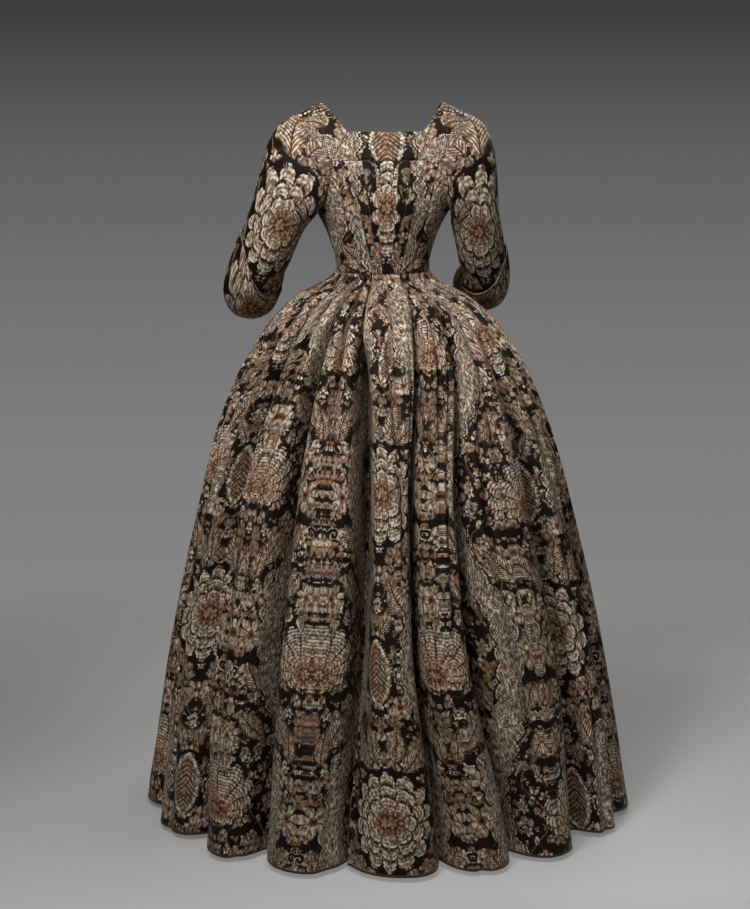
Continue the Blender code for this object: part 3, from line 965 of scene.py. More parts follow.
# Sprigs over the ground: spacing, petals, size and warmth
SPRIGS = ((0.043, 5.0, 0.0145, 0.75), (0.031, 2.0, 0.0118, 0.30), (0.021, 3.0, 0.0046, 0.95))

# Rings of a great blossom, from the outer in: share of its radius and petals
BLOSSOM_RINGS = ((1.0, 14.0), (0.75, 10.0), (0.52, 8.0))

# Motifs of the half repeat, with their sizes in metres
LEAVES = (
    (Place(0.066, 0.258, -42.0), 0.092, 0.042),
    (Place(0.026, 0.276, -10.0), 0.078, 0.034),
    (Place(0.098, 0.036, -125.0), 0.074, 0.034),
    (Place(0.196, 0.292, 38.0), 0.090, 0.042),
    (Place(0.228, 0.262, 10.0), 0.070, 0.030),
    (Place(0.188, 0.548, 140.0), 0.080, 0.036),
    (Place(0.046, 0.540, 24.0), 0.080, 0.036),
    (Place(0.022, 0.500, -30.0), 0.060, 0.026),
    (Place(0.205, 0.045, -30.0), 0.066, 0.030),
)
SMALL_FLOWERS = (
    (Place(0.226, 0.125), 0.030, 7.0),
    (Place(0.208, 0.200), 0.020, 5.0),
    (Place(0.048, 0.340), 0.022, 6.0),
    (Place(0.234, 0.535), 0.026, 8.0),
    (Place(0.096, 0.588), 0.020, 5.0),
    (Place(0.010, 0.582), 0.018, 6.0),
)
SCROLLS = (
    (Place(0.245, 0.055), 0.016),
    (Place(0.076, 0.490), 0.017),
    (Place(0.086, 0.345), 0.012),
    (Place(0.195, 0.235), 0.012),
)


@dataclass(frozen=True)
class PlainCloth:
    """A plain weave for linings, facings and bindings."""

    name: str
    colour: Colour
    roughness: float
    thread: float = 0.0009

    def material(self) -> bpy.types.Material:
        """Drafts a plain weave with uneven threads.

        Returns:
            The finished material.
        """
        draft = Draft(self.name)
        u, v = draft.cloth_place()
        uneven = draft.noise(draft.joined(u, v), 90.0, 4.0)
        pale = tuple(min(1.0, part * 1.25) for part in self.colour)
        deep = tuple(part * 0.72 for part in self.colour)
        shades = draft.tint(uneven, (*deep, 1.0), (*pale, 1.0))
        draft.plug(draft.shader.inputs["Base Color"], shades)
        draft.shader.inputs["Roughness"].default_value = self.roughness
        relief = draft.ribs(u, v, self.thread) * 0.5 + uneven
        draft.emboss(relief, strength=0.35, distance=0.0003)
        return draft.material


@dataclass
class Finishes:
    """The gown's cloths, made once and shared by its pieces."""

    brocade: bpy.types.Material
    linen: bpy.types.Material
    binding: bpy.types.Material
    cord: bpy.types.Material

    @classmethod
    def woven(cls) -> Finishes:
        """Makes every cloth of the gown.

        Returns:
            The finishes.
        """
        return cls(
            Brocade().material(),
            PlainCloth("linen_lining", (0.42, 0.36, 0.27), 0.85).material(),
            PlainCloth("hem_binding", (0.045, 0.020, 0.014), 0.60).material(),
            PlainCloth("cuff_edge", (0.46, 0.33, 0.23), 0.55).material(),
        )


@dataclass
class ClothPiece:
    """One cut piece of cloth on a grid of points, with its place on the flat cloth."""

    name: str
    points: Array
    cloth: Array
    wall: float
    node: str
    slot: Slot
    held: Held
    rests_on: tuple[str, ...]
    ring: bool = False
    cut_away: Callable[[int, int], bool] | None = None
    edge: Edge = Edge.TURNED

    def build(self, finishes: Finishes) -> bpy.types.Object:
        """Shapes a grid to the piece, thickens it and dresses it.

        Args:
            finishes: the gown's cloths.

        Returns:
            The finished object.
        """
        rows, columns = self.points.shape[:2]
        bpy.ops.object.select_all(action="DESELECT")
        bpy.ops.mesh.primitive_grid_add(
            x_subdivisions=columns - 1, y_subdivisions=rows - 1, size=2.0
        )
        piece = bpy.context.object
        piece.name = piece.data.name = self.name
        mesh = piece.data
        flat = np.empty(len(mesh.vertices) * 3)
        mesh.vertices.foreach_get("co", flat)
        flat = flat.reshape(-1, 3)
        column = np.rint((flat[:, 0] + 1.0) / 2.0 * (columns - 1)).astype(int)
        row = np.rint((flat[:, 1] + 1.0) / 2.0 * (rows - 1)).astype(int)
        mesh.vertices.foreach_set("co", self.points[row, column].ravel())
        corners = np.empty(len(mesh.loops), dtype=int)
        mesh.loops.foreach_get("vertex_index", corners)
        layer = mesh.uv_layers[0]
        layer.name = "cloth"
        layer.data.foreach_set("uv", self.cloth[row[corners], column[corners]].ravel())
        self.trim(piece, row, column)
        if self.leans_in(mesh):
            self.turn_out()
        for cloth in (finishes.brocade, finishes.linen, finishes.binding, finishes.cord):
            mesh.materials.append(cloth)
        wall = piece.modifiers.new("wall", "SOLIDIFY")
        wall.thickness = self.wall
        wall.offset = -1.0
        wall.use_quality_normals = True
        wall.material_offset = 1
        wall.material_offset_rim = self.edge.value
        bpy.ops.object.modifier_apply(modifier=wall.name)
        if self.edge is Edge.BOUND:
            self.bind_hem(mesh)
        mesh.shade_smooth()
        self.declare(piece)
        LOG.info("%s: %d faces", self.name, len(mesh.polygons))
        return piece

    def bind_hem(self, mesh: bpy.types.Mesh) -> None:
        """Keeps the binding on a narrow strip along the hem and off the other edges."""
        for face in mesh.polygons:
            at_hem = face.center.z < HEM_HEIGHT + BINDING_WIDTH - SHOULDER_HEIGHT
            if at_hem and face.material_index == 0:
                face.material_index = Edge.BOUND.value
            if face.material_index == Edge.BOUND.value and not at_hem:
                face.material_index = 0

    def trim(self, piece: bpy.types.Object, row: Array, column: Array) -> None:
        """Cuts away the faces outside the piece's outline and closes a ring.

        Args:
            piece: the grid.
            row: each vertex's row.
            column: each vertex's column.
        """
        shape = bmesh.new()
        shape.from_mesh(piece.data)
        if self.cut_away is not None:
            gone = []
            for face in shape.faces:
                low = min(int(row[vert.index]) for vert in face.verts)
                start = min(int(column[vert.index]) for vert in face.verts)
                if self.cut_away(low, start):
                    gone.append(face)
            bmesh.ops.delete(shape, geom=gone, context="FACES")
        if self.ring:
            bmesh.ops.remove_doubles(shape, verts=shape.verts, dist=1e-6)
        bmesh.ops.recalc_face_normals(shape, faces=shape.faces)
        shape.to_mesh(piece.data)
        shape.free()

    def leans_in(self, mesh: bpy.types.Mesh) -> bool:
        """Returns True where the faces point towards the body instead of away from it."""
        rows = self.points.mean(axis=1)
        lean = 0.0
        for face in mesh.polygons:
            core = rows[np.argmin(np.linalg.norm(rows - np.array(face.center), axis=1))]
            axis = Vector(core) if self.ring else Vector((0.0, 0.0, face.center.z))
            lean += face.normal.dot(face.center - axis) * face.area
        return lean < 0.0

    def turn_out(self) -> None:
        """Turns the selected piece's faces the other way."""
        bpy.ops.object.mode_set(mode="EDIT")
        bpy.ops.mesh.select_all(action="SELECT")
        bpy.ops.mesh.flip_normals()
        bpy.ops.object.mode_set(mode="OBJECT")

    def declare(self, piece: bpy.types.Object) -> None:
        """Parents the piece to the root and hides the solid that it stands for.

        Args:
            piece: the finished object.
        """
        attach(piece, "root")
        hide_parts(self.node)
        width = float(along(self.points, 1)[:, -1].max())
        length = float(along(self.points, 0)[-1].max())
        shown = self.shown_area()
        list(self.rests_on)

    def shown_area(self) -> float:
        """Returns the area of the cut cloth that shows, in square metres."""
        up = self.points[1:, :-1] - self.points[:-1, :-1]
        across = self.points[:-1, 1:] - self.points[:-1, :-1]
        cells = np.linalg.norm(np.cross(up, across), axis=-1)
        if self.cut_away is not None:
            rows, columns = cells.shape
            for row in range(rows):
                for column in range(columns):
                    if self.cut_away(row, column):
                        cells[row, column] = 0.0
        return float(cells.sum())


def mirror_for(side: Side, points: Array) -> Array:
    """Returns a left-hand cut's points on the given side."""
    return points * np.array([side.value, 1.0, 1.0])


def draw_in(points: Array, edges: str) -> Array:
    """Returns a grid with the named edges drawn in by half a seam's gap.

    Args:
        points: the piece's grid.
        edges: any of b, t, l and r for the bottom, top, first and last edges.

    Returns:
        The grid with room for its seams.
    """
    points = points.copy()
    half = SEAM_GAP / 2.0
    if "l" in edges:
        points[:, 0] += half * unit(points[:, 1] - points[:, 0])
    if "r" in edges:
        points[:, -1] += half * unit(points[:, -2] - points[:, -1])
    if "b" in edges:
        points[0] += half * unit(points[1] - points[0])
    if "t" in edges:
        points[-1] += half * unit(points[-2] - points[-1])
    return points


def outward(points: Array) -> Array:
    """Returns the direction off the cloth, away from the body, at each point of a grid."""
    off = unit(np.cross(np.gradient(points, axis=1), np.gradient(points, axis=0)))
    lean = (off * points * np.array([1.0, 1.0, 0.0])).sum()
    return off if lean > 0.0 else -off


def roll_in(points: Array, edges: str, depth: float = 0.0016, reach: float = 0.0032) -> Array:
    """Returns a grid whose named edges roll softly into their seams.

    Args:
        points: the piece's grid.
        edges: any of b, t, l and r for the bottom, top, first and last edges.
        depth: how far the edge sinks.
        reach: how wide the roll is.

    Returns:
        The grid with its seams pressed in.
    """
    up, across = along(points, 0), along(points, 1)
    distances = {"b": up, "t": up[-1:] - up, "l": across, "r": across[:, -1:] - across}
    sink = sum(np.exp(-((distances[edge] / reach) ** 2)) for edge in edges)
    return points - outward(points) * (depth * np.minimum(sink, 1.0))[..., None]


@dataclass
class Bodice:
    """The fitted bodice: back, sides, fronts, neck band and robings."""

    finishes: Finishes
    rows: int = 72
    back_columns: int = 301
    front_columns: int = 91
    pleat_edges: tuple[float, float, float] = (0.30, 0.64, 1.0)
    pleat_shares: tuple[float, float, float] = (0.52, 0.80, 1.0)
    pleat_step: float = 0.0009
    pleat_groove: float = 0.0015
    pleat_tuck: float = 0.046
    side_back_columns: int = 48
    underarm_columns: int = 30
    robing_start: float = 0.5
    robing_end: float = 0.8

    def build(self) -> None:
        """Builds and dresses every piece of the bodice."""
        self.back()
        self.neck_band()
        for side in Side:
            self.side_piece(side)
            self.front(side)
            self.robing(side)

    def piece(
        self,
        name: str,
        points: Array,
        cloth: Array,
        slot: Slot = Slot.BROCADE,
        rests_on: tuple[str, ...] = ("waist seam",),
        cut_away: Callable[[int, int], bool] | None = None,
    ) -> None:
        """Builds one piece of the bodice.

        Args:
            name: the piece's name, which is its node's too.
            points: its grid of points.
            cloth: place of each point on the flat cloth.
            slot: a finish named for it, which is not used.
            rests_on: what it is sewn to; not used.
            cut_away: tells which cells of the grid lie outside the piece.
        """
        made = ClothPiece(
            name + "_cloth", points, cloth, BODICE_WALL, name, slot, Held.STRETCHED, rests_on,
            cut_away=cut_away,
        )
        made.build(self.finishes)

    def back(self) -> None:
        """Builds the centre back with its pleats stitched down in steps."""
        height = np.linspace(WAIST_HEIGHT, BAND_LOWER_HEIGHT, self.rows)[:, None]
        share = np.linspace(-1.0, 1.0, self.back_columns)[None, :]
        x = share * BACK_SEAMS.read(height, "side_back")
        points = TORSO.at(x, height, 1.0)
        pleats = BACK_SEAMS.read(height, "pleats")
        rise = self.steps(np.abs(x), pleats)
        points = points + rise[..., None] * TORSO.normal(points)
        cloth = self.laid_flat(points, centred=True)
        cloth[..., 0] += np.sign(x) * self.tucked(np.abs(x), pleats)
        points = roll_in(points, "tlr")
        self.piece("bodice_back", draw_in(points, "tlr"), cloth)

    def steps(self, away: Array, pleats: Array) -> Array:
        """Returns how far the stitched pleats stand off the back.

        Args:
            away: distance from the centre back.
            pleats: half width of the pleated part.

        Returns:
            The rise at each point.
        """
        rise = np.zeros_like(away)
        for edge, build_up in zip(reversed(self.pleat_edges), reversed(self.pleat_shares)):
            inside = smooth((pleats * edge - away) / self.pleat_step + 0.5)
            rise = lerp(rise, build_up, inside)
        rise = rise * STITCHED_PLEAT_RISE
        for edge in self.pleat_edges:
            beside = (away - pleats * edge - self.pleat_step) / self.pleat_step
            rise = rise - self.pleat_groove * np.exp(-(beside**2))
        return rise

    def tucked(self, away: Array, pleats: Array) -> Array:
        """Returns how much cloth the stitched pleats hide between the centre and each point."""
        hidden = np.zeros_like(away)
        for edge in self.pleat_edges:
            hidden = hidden + self.pleat_tuck * smooth((away - pleats * edge) / self.pleat_step)
        return hidden

    def laid_flat(
        self, points: Array, centred: bool = False, cut: tuple[float, float] = (0.0, 0.0)
    ) -> Array:
        """Returns each point's place on the flat cloth, weft first.

        Args:
            points: the piece's grid.
            centred: True to measure the weft from the piece's middle.
            cut: where on the pattern the piece's first corner was cut.

        Returns:
            A grid of places in metres.
        """
        u = along(points, 1)
        if centred:
            u = u - u[:, -1:] / 2.0
        middle = points.shape[1] // 2
        v = along(points, 0)[:, middle][:, None] + np.zeros_like(u)
        return np.stack([u + cut[0], v + cut[1]], axis=-1)

    def side_piece(self, side: Side) -> None:
        """Builds the side piece, from the side-back seam to the side seam.

        Args:
            side: the wearer's side.
        """
        below, above = int(self.rows * 0.6), int(self.rows * 0.4)
        heights = np.concatenate(
            [
                np.linspace(WAIST_HEIGHT, UNDERARM_HEIGHT, below),
                np.linspace(UNDERARM_HEIGHT, ARMHOLE_TOP_HEIGHT, above + 1)[1:],
            ]
        )
        height = heights[:, None]
        start = TORSO.angle_of(BACK_SEAMS.read(height, "side_back"), height, 1)
        edge = TORSO.angle_of(ARMHOLE.read(height, "edge"), height, 1)
        first = lerp(start, edge, np.linspace(0.0, 1.0, self.side_back_columns + 1)[None, :])
        rest = lerp(edge, 90.0, np.linspace(0.0, 1.0, self.underarm_columns + 1)[None, 1:])
        points = TORSO.round(np.concatenate([first, rest], axis=1), height)
        cloth = self.laid_flat(points, cut=SIDE_CUT)
        points = draw_in(roll_in(points, "lr"), "btlr")
        limit = self.side_back_columns

        def cut_away(row: int, column: int) -> bool:
            """Returns True for the cells of the grid inside the armhole."""
            return row >= below - 1 and column >= limit

        name = f"bodice_side_{side.word}"
        self.piece(name, mirror_for(side, points), cloth, cut_away=cut_away)

    def front_grid(self, share: Array) -> Array:
        """Returns the front's points.

        Args:
            share: columns from the side seam (0) by the robing (0.5 to 0.8) to the centre (1).

        Returns:
            The grid of points.
        """
        share = share[None, :]
        start, end = self.robing_start, self.robing_end
        top = lerp(UNDERARM_HEIGHT, FRONT_NECK_HEIGHT, smooth(share / start))
        height = lerp(WAIST_HEIGHT, top, np.linspace(0.0, 1.0, self.rows)[:, None])
        inner, outer = ROBING.read(height, "inner"), ROBING.read(height, "outer")
        edge = TORSO.angle_of(outer, height, -1)
        side = TORSO.round(lerp(90.0, edge, share / start), height)
        x = np.where(
            share < end,
            lerp(outer, inner, (share - start) / (end - start)),
            lerp(inner, 0.0, (share - end) / (1.0 - end)),
        )
        flat = TORSO.at(x, height, -1.0)
        return np.where((share < start)[..., None], side, flat)

    def front(self, side: Side) -> None:
        """Builds a front, from the side seam to the centre front.

        Args:
            side: the wearer's side.
        """
        points = self.front_grid(np.linspace(0.0, 1.0, self.front_columns))
        cloth = self.laid_flat(points)
        cloth[..., 0] = cloth[:, -1:, 0] - cloth[..., 0]
        name = f"bodice_front_{side.word}"
        self.piece(name, mirror_for(side, draw_in(roll_in(points, "lr"), "btlr")), cloth)

    def robing(self, side: Side) -> None:
        """Builds a robing, from the front waist over the shoulder to its mitre on the back.

        Args:
            side: the wearer's side.
        """
        front = self.front_grid(np.linspace(self.robing_start, self.robing_end, 4))
        front = front + ROBING_RISE * TORSO.normal(front)
        picks = np.linspace(0, self.rows - 1, 7).astype(int)
        across = np.linspace(0.0, 1.0, 4)
        straps = np.stack([strap_points(row, across) for row in STRAP])
        coarse = np.concatenate([front[picks], straps])
        rows = through(coarse, np.linspace(0.0, len(coarse) - 1.0, 150))
        points = through(rows.transpose(1, 0, 2), np.linspace(0.0, 3.0, 31)).transpose(1, 0, 2)
        cloth = self.laid_flat(points, cut=ROBING_CUT)
        points = draw_in(roll_in(points, "lr", ROBING_ROLL), "bt")
        name = f"robing_{side.word}"
        self.piece(
            name, mirror_for(side, points), cloth, Slot.TRIM, (f"bodice_front_{side.word}",)
        )

    def neck_band(self) -> None:
        """Builds the band across the back of the neck."""
        share = np.linspace(0.0, 1.0, 34)[:, None]
        height = lerp(BAND_LOWER_HEIGHT, BACK_NECK_HEIGHT, share)
        half = lerp(STRAP[-1][4], STRAP[-1][2], share)
        points = TORSO.at(half * np.linspace(-1.0, 1.0, 121)[None, :], height, 1.0)
        cloth = self.laid_flat(points, centred=True, cut=NECK_BAND_CUT)
        points = roll_in(points, "blr")
        self.piece(
            "back_neck_band", draw_in(points, "btlr"), cloth, Slot.TRIM, ("bodice_back",)
        )


# Sleeve rings from the cap down: x, y, height, half width and half depth
LEFT_ARM = np.array(
    (
        (0.207, 0.000, 1.165, 0.0560, 0.0590),
        (0.224, -0.008, 1.120, 0.0545, 0.0570),
        (0.240, -0.022, 1.080, 0.0530, 0.0545),
        (0.251, -0.042, 1.045, 0.0525, 0.0530),
        (0.256, -0.070, 1.023, 0.0520, 0.0515),
        (0.255, -0.102, 1.014, 0.0510, 0.0500),
        (0.252, -0.138, 1.012, 0.0500, 0.0490),
        (0.249, -0.170, 1.013, 0.0500, 0.0490),
    )
)
RIGHT_ARM = np.array(
    (
        (0.184, 0.000, 1.165, 0.0480, 0.0580),
        (0.193, -0.016, 1.122, 0.0475, 0.0555),
        (0.204, -0.040, 1.084, 0.0470, 0.0530),
        (0.212, -0.067, 1.051, 0.0470, 0.0510),
        (0.216, -0.098, 1.030, 0.0470, 0.0500),
        (0.216, -0.130, 1.021, 0.0470, 0.0490),
        (0.214, -0.165, 1.019, 0.0470, 0.0480),
        (0.211, -0.196, 1.020, 0.0470, 0.0480),
    )
)

# Each sleeve's rings, where its cuff starts and how far that rises outside, in rings, and the flare
ARMS = {
    Side.LEFT: (LEFT_ARM, 3.0, 2.1, 0.0045),
    Side.RIGHT: (RIGHT_ARM, 3.1, 1.5, 0.0032),
}


@dataclass
class Sleeve:
    """A sleeve to the elbow with its turned-back cuff."""

    finishes: Finishes
    side: Side
    arm: Array
    cuff_start: float
    cuff_rise: float
    cuff_flare: float
    around: int = 112
    cap_rows: int = 26
    arm_rows: int = 90
    cuff_rows: int = 52
    first_place: float = 3.5
    last_place: float = 7.0
    elbow: float = 3.6
    elbow_reach: float = 1.5
    cap_reach: float = 1.3
    crease_rise: float = 0.0036
    drag_rise: float = 0.0017
    roll_place: float = 0.0055
    roll_reach: float = 0.0030
    start_share: float = 0.3
    puckers: float = 4.0
    pucker_rise: float = 0.0012
    pucker_depth: float = 0.0008

    def build(self) -> None:
        """Builds and dresses the sleeve and its cuff."""
        self.sleeve()
        self.cuff()

    def centre(self, place: Array) -> Array:
        """Returns centre, half width and half depth at places counted in rings."""
        shape = np.shape(place)
        return through(self.arm, np.ravel(place)).reshape(*shape, 5)

    def frame(self, place: Array) -> tuple[Array, Array, Array]:
        """Returns the outward, backward and downward directions at each place."""
        reach = 0.05
        ahead = self.centre(np.minimum(place + reach, len(self.arm) - 1.0))[..., :3]
        behind = self.centre(np.maximum(place - reach, 0.0))[..., :3]
        down = unit(ahead - behind)
        outward = unit(np.array([1.0, 0.0, 0.0]) - down * down[..., :1])
        return outward, np.cross(outward, down), down

    def at(self, place: Array, turn: Array, stand_off: Value = 0.0) -> Array:
        """Returns points of the sleeve's outer face.

        Args:
            place: places down the arm, counted in rings.
            turn: turns from the outer side (0) to the back (a quarter).
            stand_off: how far outside the sleeve the points lie.

        Returns:
            Points in the gown's frame.
        """
        place, turn = np.broadcast_arrays(np.asarray(place, float), turn)
        core = self.centre(place)
        outward, backward, _ = self.frame(place)
        point = above_floor(core[..., 0], core[..., 1], core[..., 2])
        point = point + outward * ((core[..., 3] + stand_off) * np.cos(turn))[..., None]
        return point + backward * ((core[..., 4] + stand_off) * np.sin(turn))[..., None]

    def armhole(self) -> tuple[Array, Array]:
        """Returns the armhole's edge as a smooth loop and the turn of each of its points."""
        outer = [strap_points(row, np.array(0.0)) for row in STRAP]
        ridge = sum(row[0] < 0.0 for row in STRAP)
        loop = outer[ridge:]
        for height in ARMHOLE.heights[:1:-1]:
            edge = TORSO.angle_of(ARMHOLE.read(height, "edge"), height, 1)
            loop.append(TORSO.round(np.array(edge), np.array(height)))
        edge = TORSO.angle_of(ARMHOLE.read(UNDERARM_HEIGHT, "edge"), UNDERARM_HEIGHT, 1)
        for share in np.linspace(0.0, 1.0, 5):
            height = np.array(UNDERARM_HEIGHT)
            loop.append(TORSO.round(np.array(lerp(edge, 90.0, share)), height))
        for share in (0.2, 0.4, 0.6, 0.8):
            height = np.array(lerp(UNDERARM_HEIGHT, FRONT_NECK_HEIGHT, smooth(share)))
            stop = TORSO.angle_of(ROBING.read(height, "outer"), height, -1)
            loop.append(TORSO.round(np.array(lerp(90.0, stop, share)), height))
        top = np.array(FRONT_NECK_HEIGHT)
        point = TORSO.at(ROBING.read(top, "outer"), top, -1.0)
        loop.append(point + ROBING_RISE * TORSO.normal(point))
        loop += outer[:ridge]
        coarse = np.array(loop)
        fine = through(coarse, np.linspace(0.0, len(coarse), self.around * 8, endpoint=False), True)
        steps = np.linalg.norm(np.roll(fine, -1, axis=0) - fine, axis=1)
        turns = np.concatenate([[0.0], np.cumsum(steps)[:-1]]) * (math.tau / steps.sum())
        even = np.linspace(0.0, math.tau, self.around, endpoint=False)
        picked = [np.interp(even, turns, fine[:, part], period=math.tau) for part in range(3)]
        return np.stack(picked, axis=1), even

    def leaving(self, turn: Array) -> Array:
        """Returns the direction in which the sleeve leaves the armhole."""
        top = 0.5 + 0.5 * np.cos(turn)
        way = [lerp(0.30, 0.92, top), 0.30 * np.sin(turn), lerp(-0.95, -0.40, top)]
        return unit(np.stack(way, axis=-1))

    def creases(self, place: Array, turn: Array) -> Array:
        """Returns how far the elbow's soft folds stand off the sleeve.

        Args:
            place: places down the arm.
            turn: turns round it.

        Returns:
            The rise at each point, in metres.
        """
        bend = np.exp(-(((place - self.elbow) / self.elbow_reach) ** 2))
        inside = 0.5 - 0.5 * np.cos(turn + 0.5)
        rings = np.sin(place * 5.2 + np.sin(turn) * 1.6 + self.side.value)
        drag = np.sin(turn * 3.0 + place * 1.7 + 0.6 * self.side.value)
        cap = np.exp(-((place / self.cap_reach) ** 2))
        folds = self.crease_rise * bend * inside * rings
        return folds + self.drag_rise * drag * (0.4 + 0.6 * cap)

    def sleeve(self) -> None:
        """Builds the sleeve from the armhole over the cap to its end inside the cuff."""
        loop, turns = self.armhole()
        away = 0.3 * TORSO.normal(loop) + self.leaving(turns)
        edge = loop + SLEEVE_GAP * away
        _, _, down = self.frame(np.array(0.0))
        target = self.at(0.0, turns)
        length = np.linalg.norm(target - edge, axis=1)[:, None]
        start, end = self.leaving(turns) * length, down * length
        rows = []
        for s in np.linspace(0.0, 1.0, self.cap_rows, endpoint=False):
            row = edge * (2 * s**3 - 3 * s**2 + 1) + start * (s**3 - 2 * s**2 + s)
            rows.append(row + target * (3 * s**2 - 2 * s**3) + end * (s**3 - s**2))
        cap = np.stack(rows)
        place = np.linspace(0.0, self.last_place, self.arm_rows)[:, None]
        lower = self.at(place, turns[None, :], self.creases(place, turns[None, :]))
        fade = smooth(np.linspace(0.0, 1.0, self.cap_rows))[:, None]
        settle = self.creases(np.zeros((1, 1)), turns[None, :]) * fade
        out = unit(cap - cap.mean(axis=1, keepdims=True))
        past_roll = (along(cap, 0) - self.roll_place) / self.roll_reach
        seam = ARMHOLE_ROLL * np.exp(-(past_roll**2))
        cap = cap + out * (settle - seam)[..., None]
        points = np.concatenate([cap, lower])
        self.tube(f"sleeve_{self.side.word}", points, SLEEVE_CUT, ("armhole seam",))

    def cuff(self) -> None:
        """Builds the cuff from its slanted upper edge to the sleeve's end."""
        turns = np.linspace(0.0, math.tau, self.around, endpoint=False)[None, :]
        start = self.cuff_start - self.cuff_rise * (0.5 + 0.5 * np.cos(turns)) ** 2
        share = np.linspace(0.0, 1.0, self.cuff_rows)[:, None]
        place = np.where(
            share < self.start_share,
            lerp(start, self.first_place, share / self.start_share),
            lerp(
                self.first_place,
                self.last_place,
                (share - self.start_share) / (1.0 - self.start_share),
            ),
        )
        off = (place - self.first_place) / (self.last_place - self.first_place)
        stand_off = lerp(self.cuff_flare, CUFF_RISE, np.clip(off, 0.0, 1.0))
        pucker = np.sin(turns * self.puckers + place * 0.9) * self.pucker_rise
        pucker = np.maximum(pucker * smooth(1.0 - share), -self.pucker_depth)
        points = self.at(place, turns, stand_off + pucker)
        rests_on = (f"sleeve_{self.side.word}",)
        self.tube(f"cuff_{self.side.word}", points, CUFF_CUT, rests_on, Edge.CORDED)

    def tube(
        self,
        name: str,
        points: Array,
        offset: float,
        rests_on: tuple[str, ...],
        edge: Edge = Edge.TURNED,
    ) -> None:
        """Builds a tube of cloth from rings of points.

        Args:
            name: the piece's name, which is its node's too.
            points: rings of points, not yet closed.
            offset: where up the cloth the tube's first ring was cut.
            rests_on: what it is sewn to; not used.
            edge: how its cut edges are finished.
        """
        points = np.concatenate([points, points[:, :1]], axis=1)
        u = along(points, 1)
        girth = u[:, -1:].mean()
        u = (u / u[:, -1:] - 0.25) * girth
        v = along(points, 0).mean(axis=1)[:, None] + np.zeros_like(u)
        cloth = np.stack([u, offset - v], axis=-1)
        made = ClothPiece(
            name + "_cloth", mirror_for(self.side, points), cloth, BODICE_WALL, name,
            Slot.BROCADE, Held.DRAPED, rests_on, ring=True, edge=edge,
        )
        made.build(self.finishes)


SKIRT_FORM = SizeTable(
    ("half_width", "back", "front", "fold", "pleat", "fan"),
    (
        (0.010, 0.478, 0.528, 0.440, 1.00, 0.000, 1.00),
        (0.180, 0.453, 0.496, 0.418, 0.92, 0.000, 1.00),
        (0.380, 0.418, 0.450, 0.386, 0.80, 0.002, 1.00),
        (0.580, 0.374, 0.394, 0.342, 0.66, 0.006, 0.96),
        (0.740, 0.334, 0.342, 0.298, 0.50, 0.010, 0.84),
        (0.860, 0.290, 0.288, 0.252, 0.34, 0.014, 0.62),
        (0.935, 0.247, 0.240, 0.212, 0.20, 0.014, 0.40),
        (0.985, 0.207, 0.196, 0.172, 0.11, 0.012, 0.24),
        (1.018, 0.168, 0.156, 0.140, 0.05, 0.010, 0.12),
        (1.038, 0.130, 0.122, 0.119, 0.02, 0.008, 0.05),
        (1.054, 0.104, 0.100, 0.104, 0.00, 0.006, 0.02),
        (1.068, 0.0965, 0.0930, 0.0980, 0.00, 0.005, 0.00),
    ),
)

# The hem's big folds from the left side by the back to the right: crest and valley in degrees from
# the centre back, growing towards the wearer's right, and depth.
FOLDS = (
    (-87.0, -76.0, 0.050),
    (-64.0, -53.0, 0.045),
    (-41.0, -35.0, 0.078),
    (-22.0, -13.0, 0.085),
    (1.0, 8.5, 0.060),
    (17.0, 26.0, 0.072),
    (34.0, 46.0, 0.082),
    (55.0, 61.0, 0.060),
    (71.0, 84.0, 0.062),
    (96.0, 107.0, 0.050),
    (118.0, 128.0, 0.058),
    (139.0, 149.0, 0.060),
    (160.0, 170.0, 0.055),
    (181.0, 191.0, 0.062),
    (202.0, 212.0, 0.055),
    (222.0, 232.0, 0.060),
    (243.0, 252.0, 0.052),
    (259.0, 266.0, 0.048),
)

# The crease in each fold's valley, in the same order: how far it bows aside half way up in degrees,
# width in half folds, depth, and the heights above the floor where it fades out above and below.
CREASES = (
    (-5.0, 0.15, 0.060, 0.98, -0.25),
    (-7.0, 0.18, 0.095, 1.00, -0.30),
    (-1.0, 0.17, 0.064, 1.01, -0.25),
    (2.5, 0.22, 0.084, 0.98, -0.15),
    (-5.0, 0.14, 0.058, 1.02, -0.28),
    (-7.5, 0.17, 0.066, 1.01, -0.25),
    (5.5, 0.20, 0.108, 0.99, -0.50),
    (5.0, 0.15, 0.055, 0.96, -0.25),
    (-2.0, 0.20, 0.050, 1.00, -0.20),
    (2.0, 0.18, 0.046, 1.01, -0.25),
    (-3.0, 0.26, 0.058, 0.97, -0.28),
    (1.0, 0.15, 0.044, 1.01, -0.20),
    (3.0, 0.22, 0.052, 1.00, -0.30),
    (-2.5, 0.16, 0.048, 1.01, -0.20),
    (1.5, 0.28, 0.060, 0.96, -0.30),
    (-1.5, 0.17, 0.046, 1.01, -0.25),
    (3.5, 0.24, 0.055, 0.99, -0.30),
    (0.5, 0.16, 0.046, 1.00, -0.20),
)
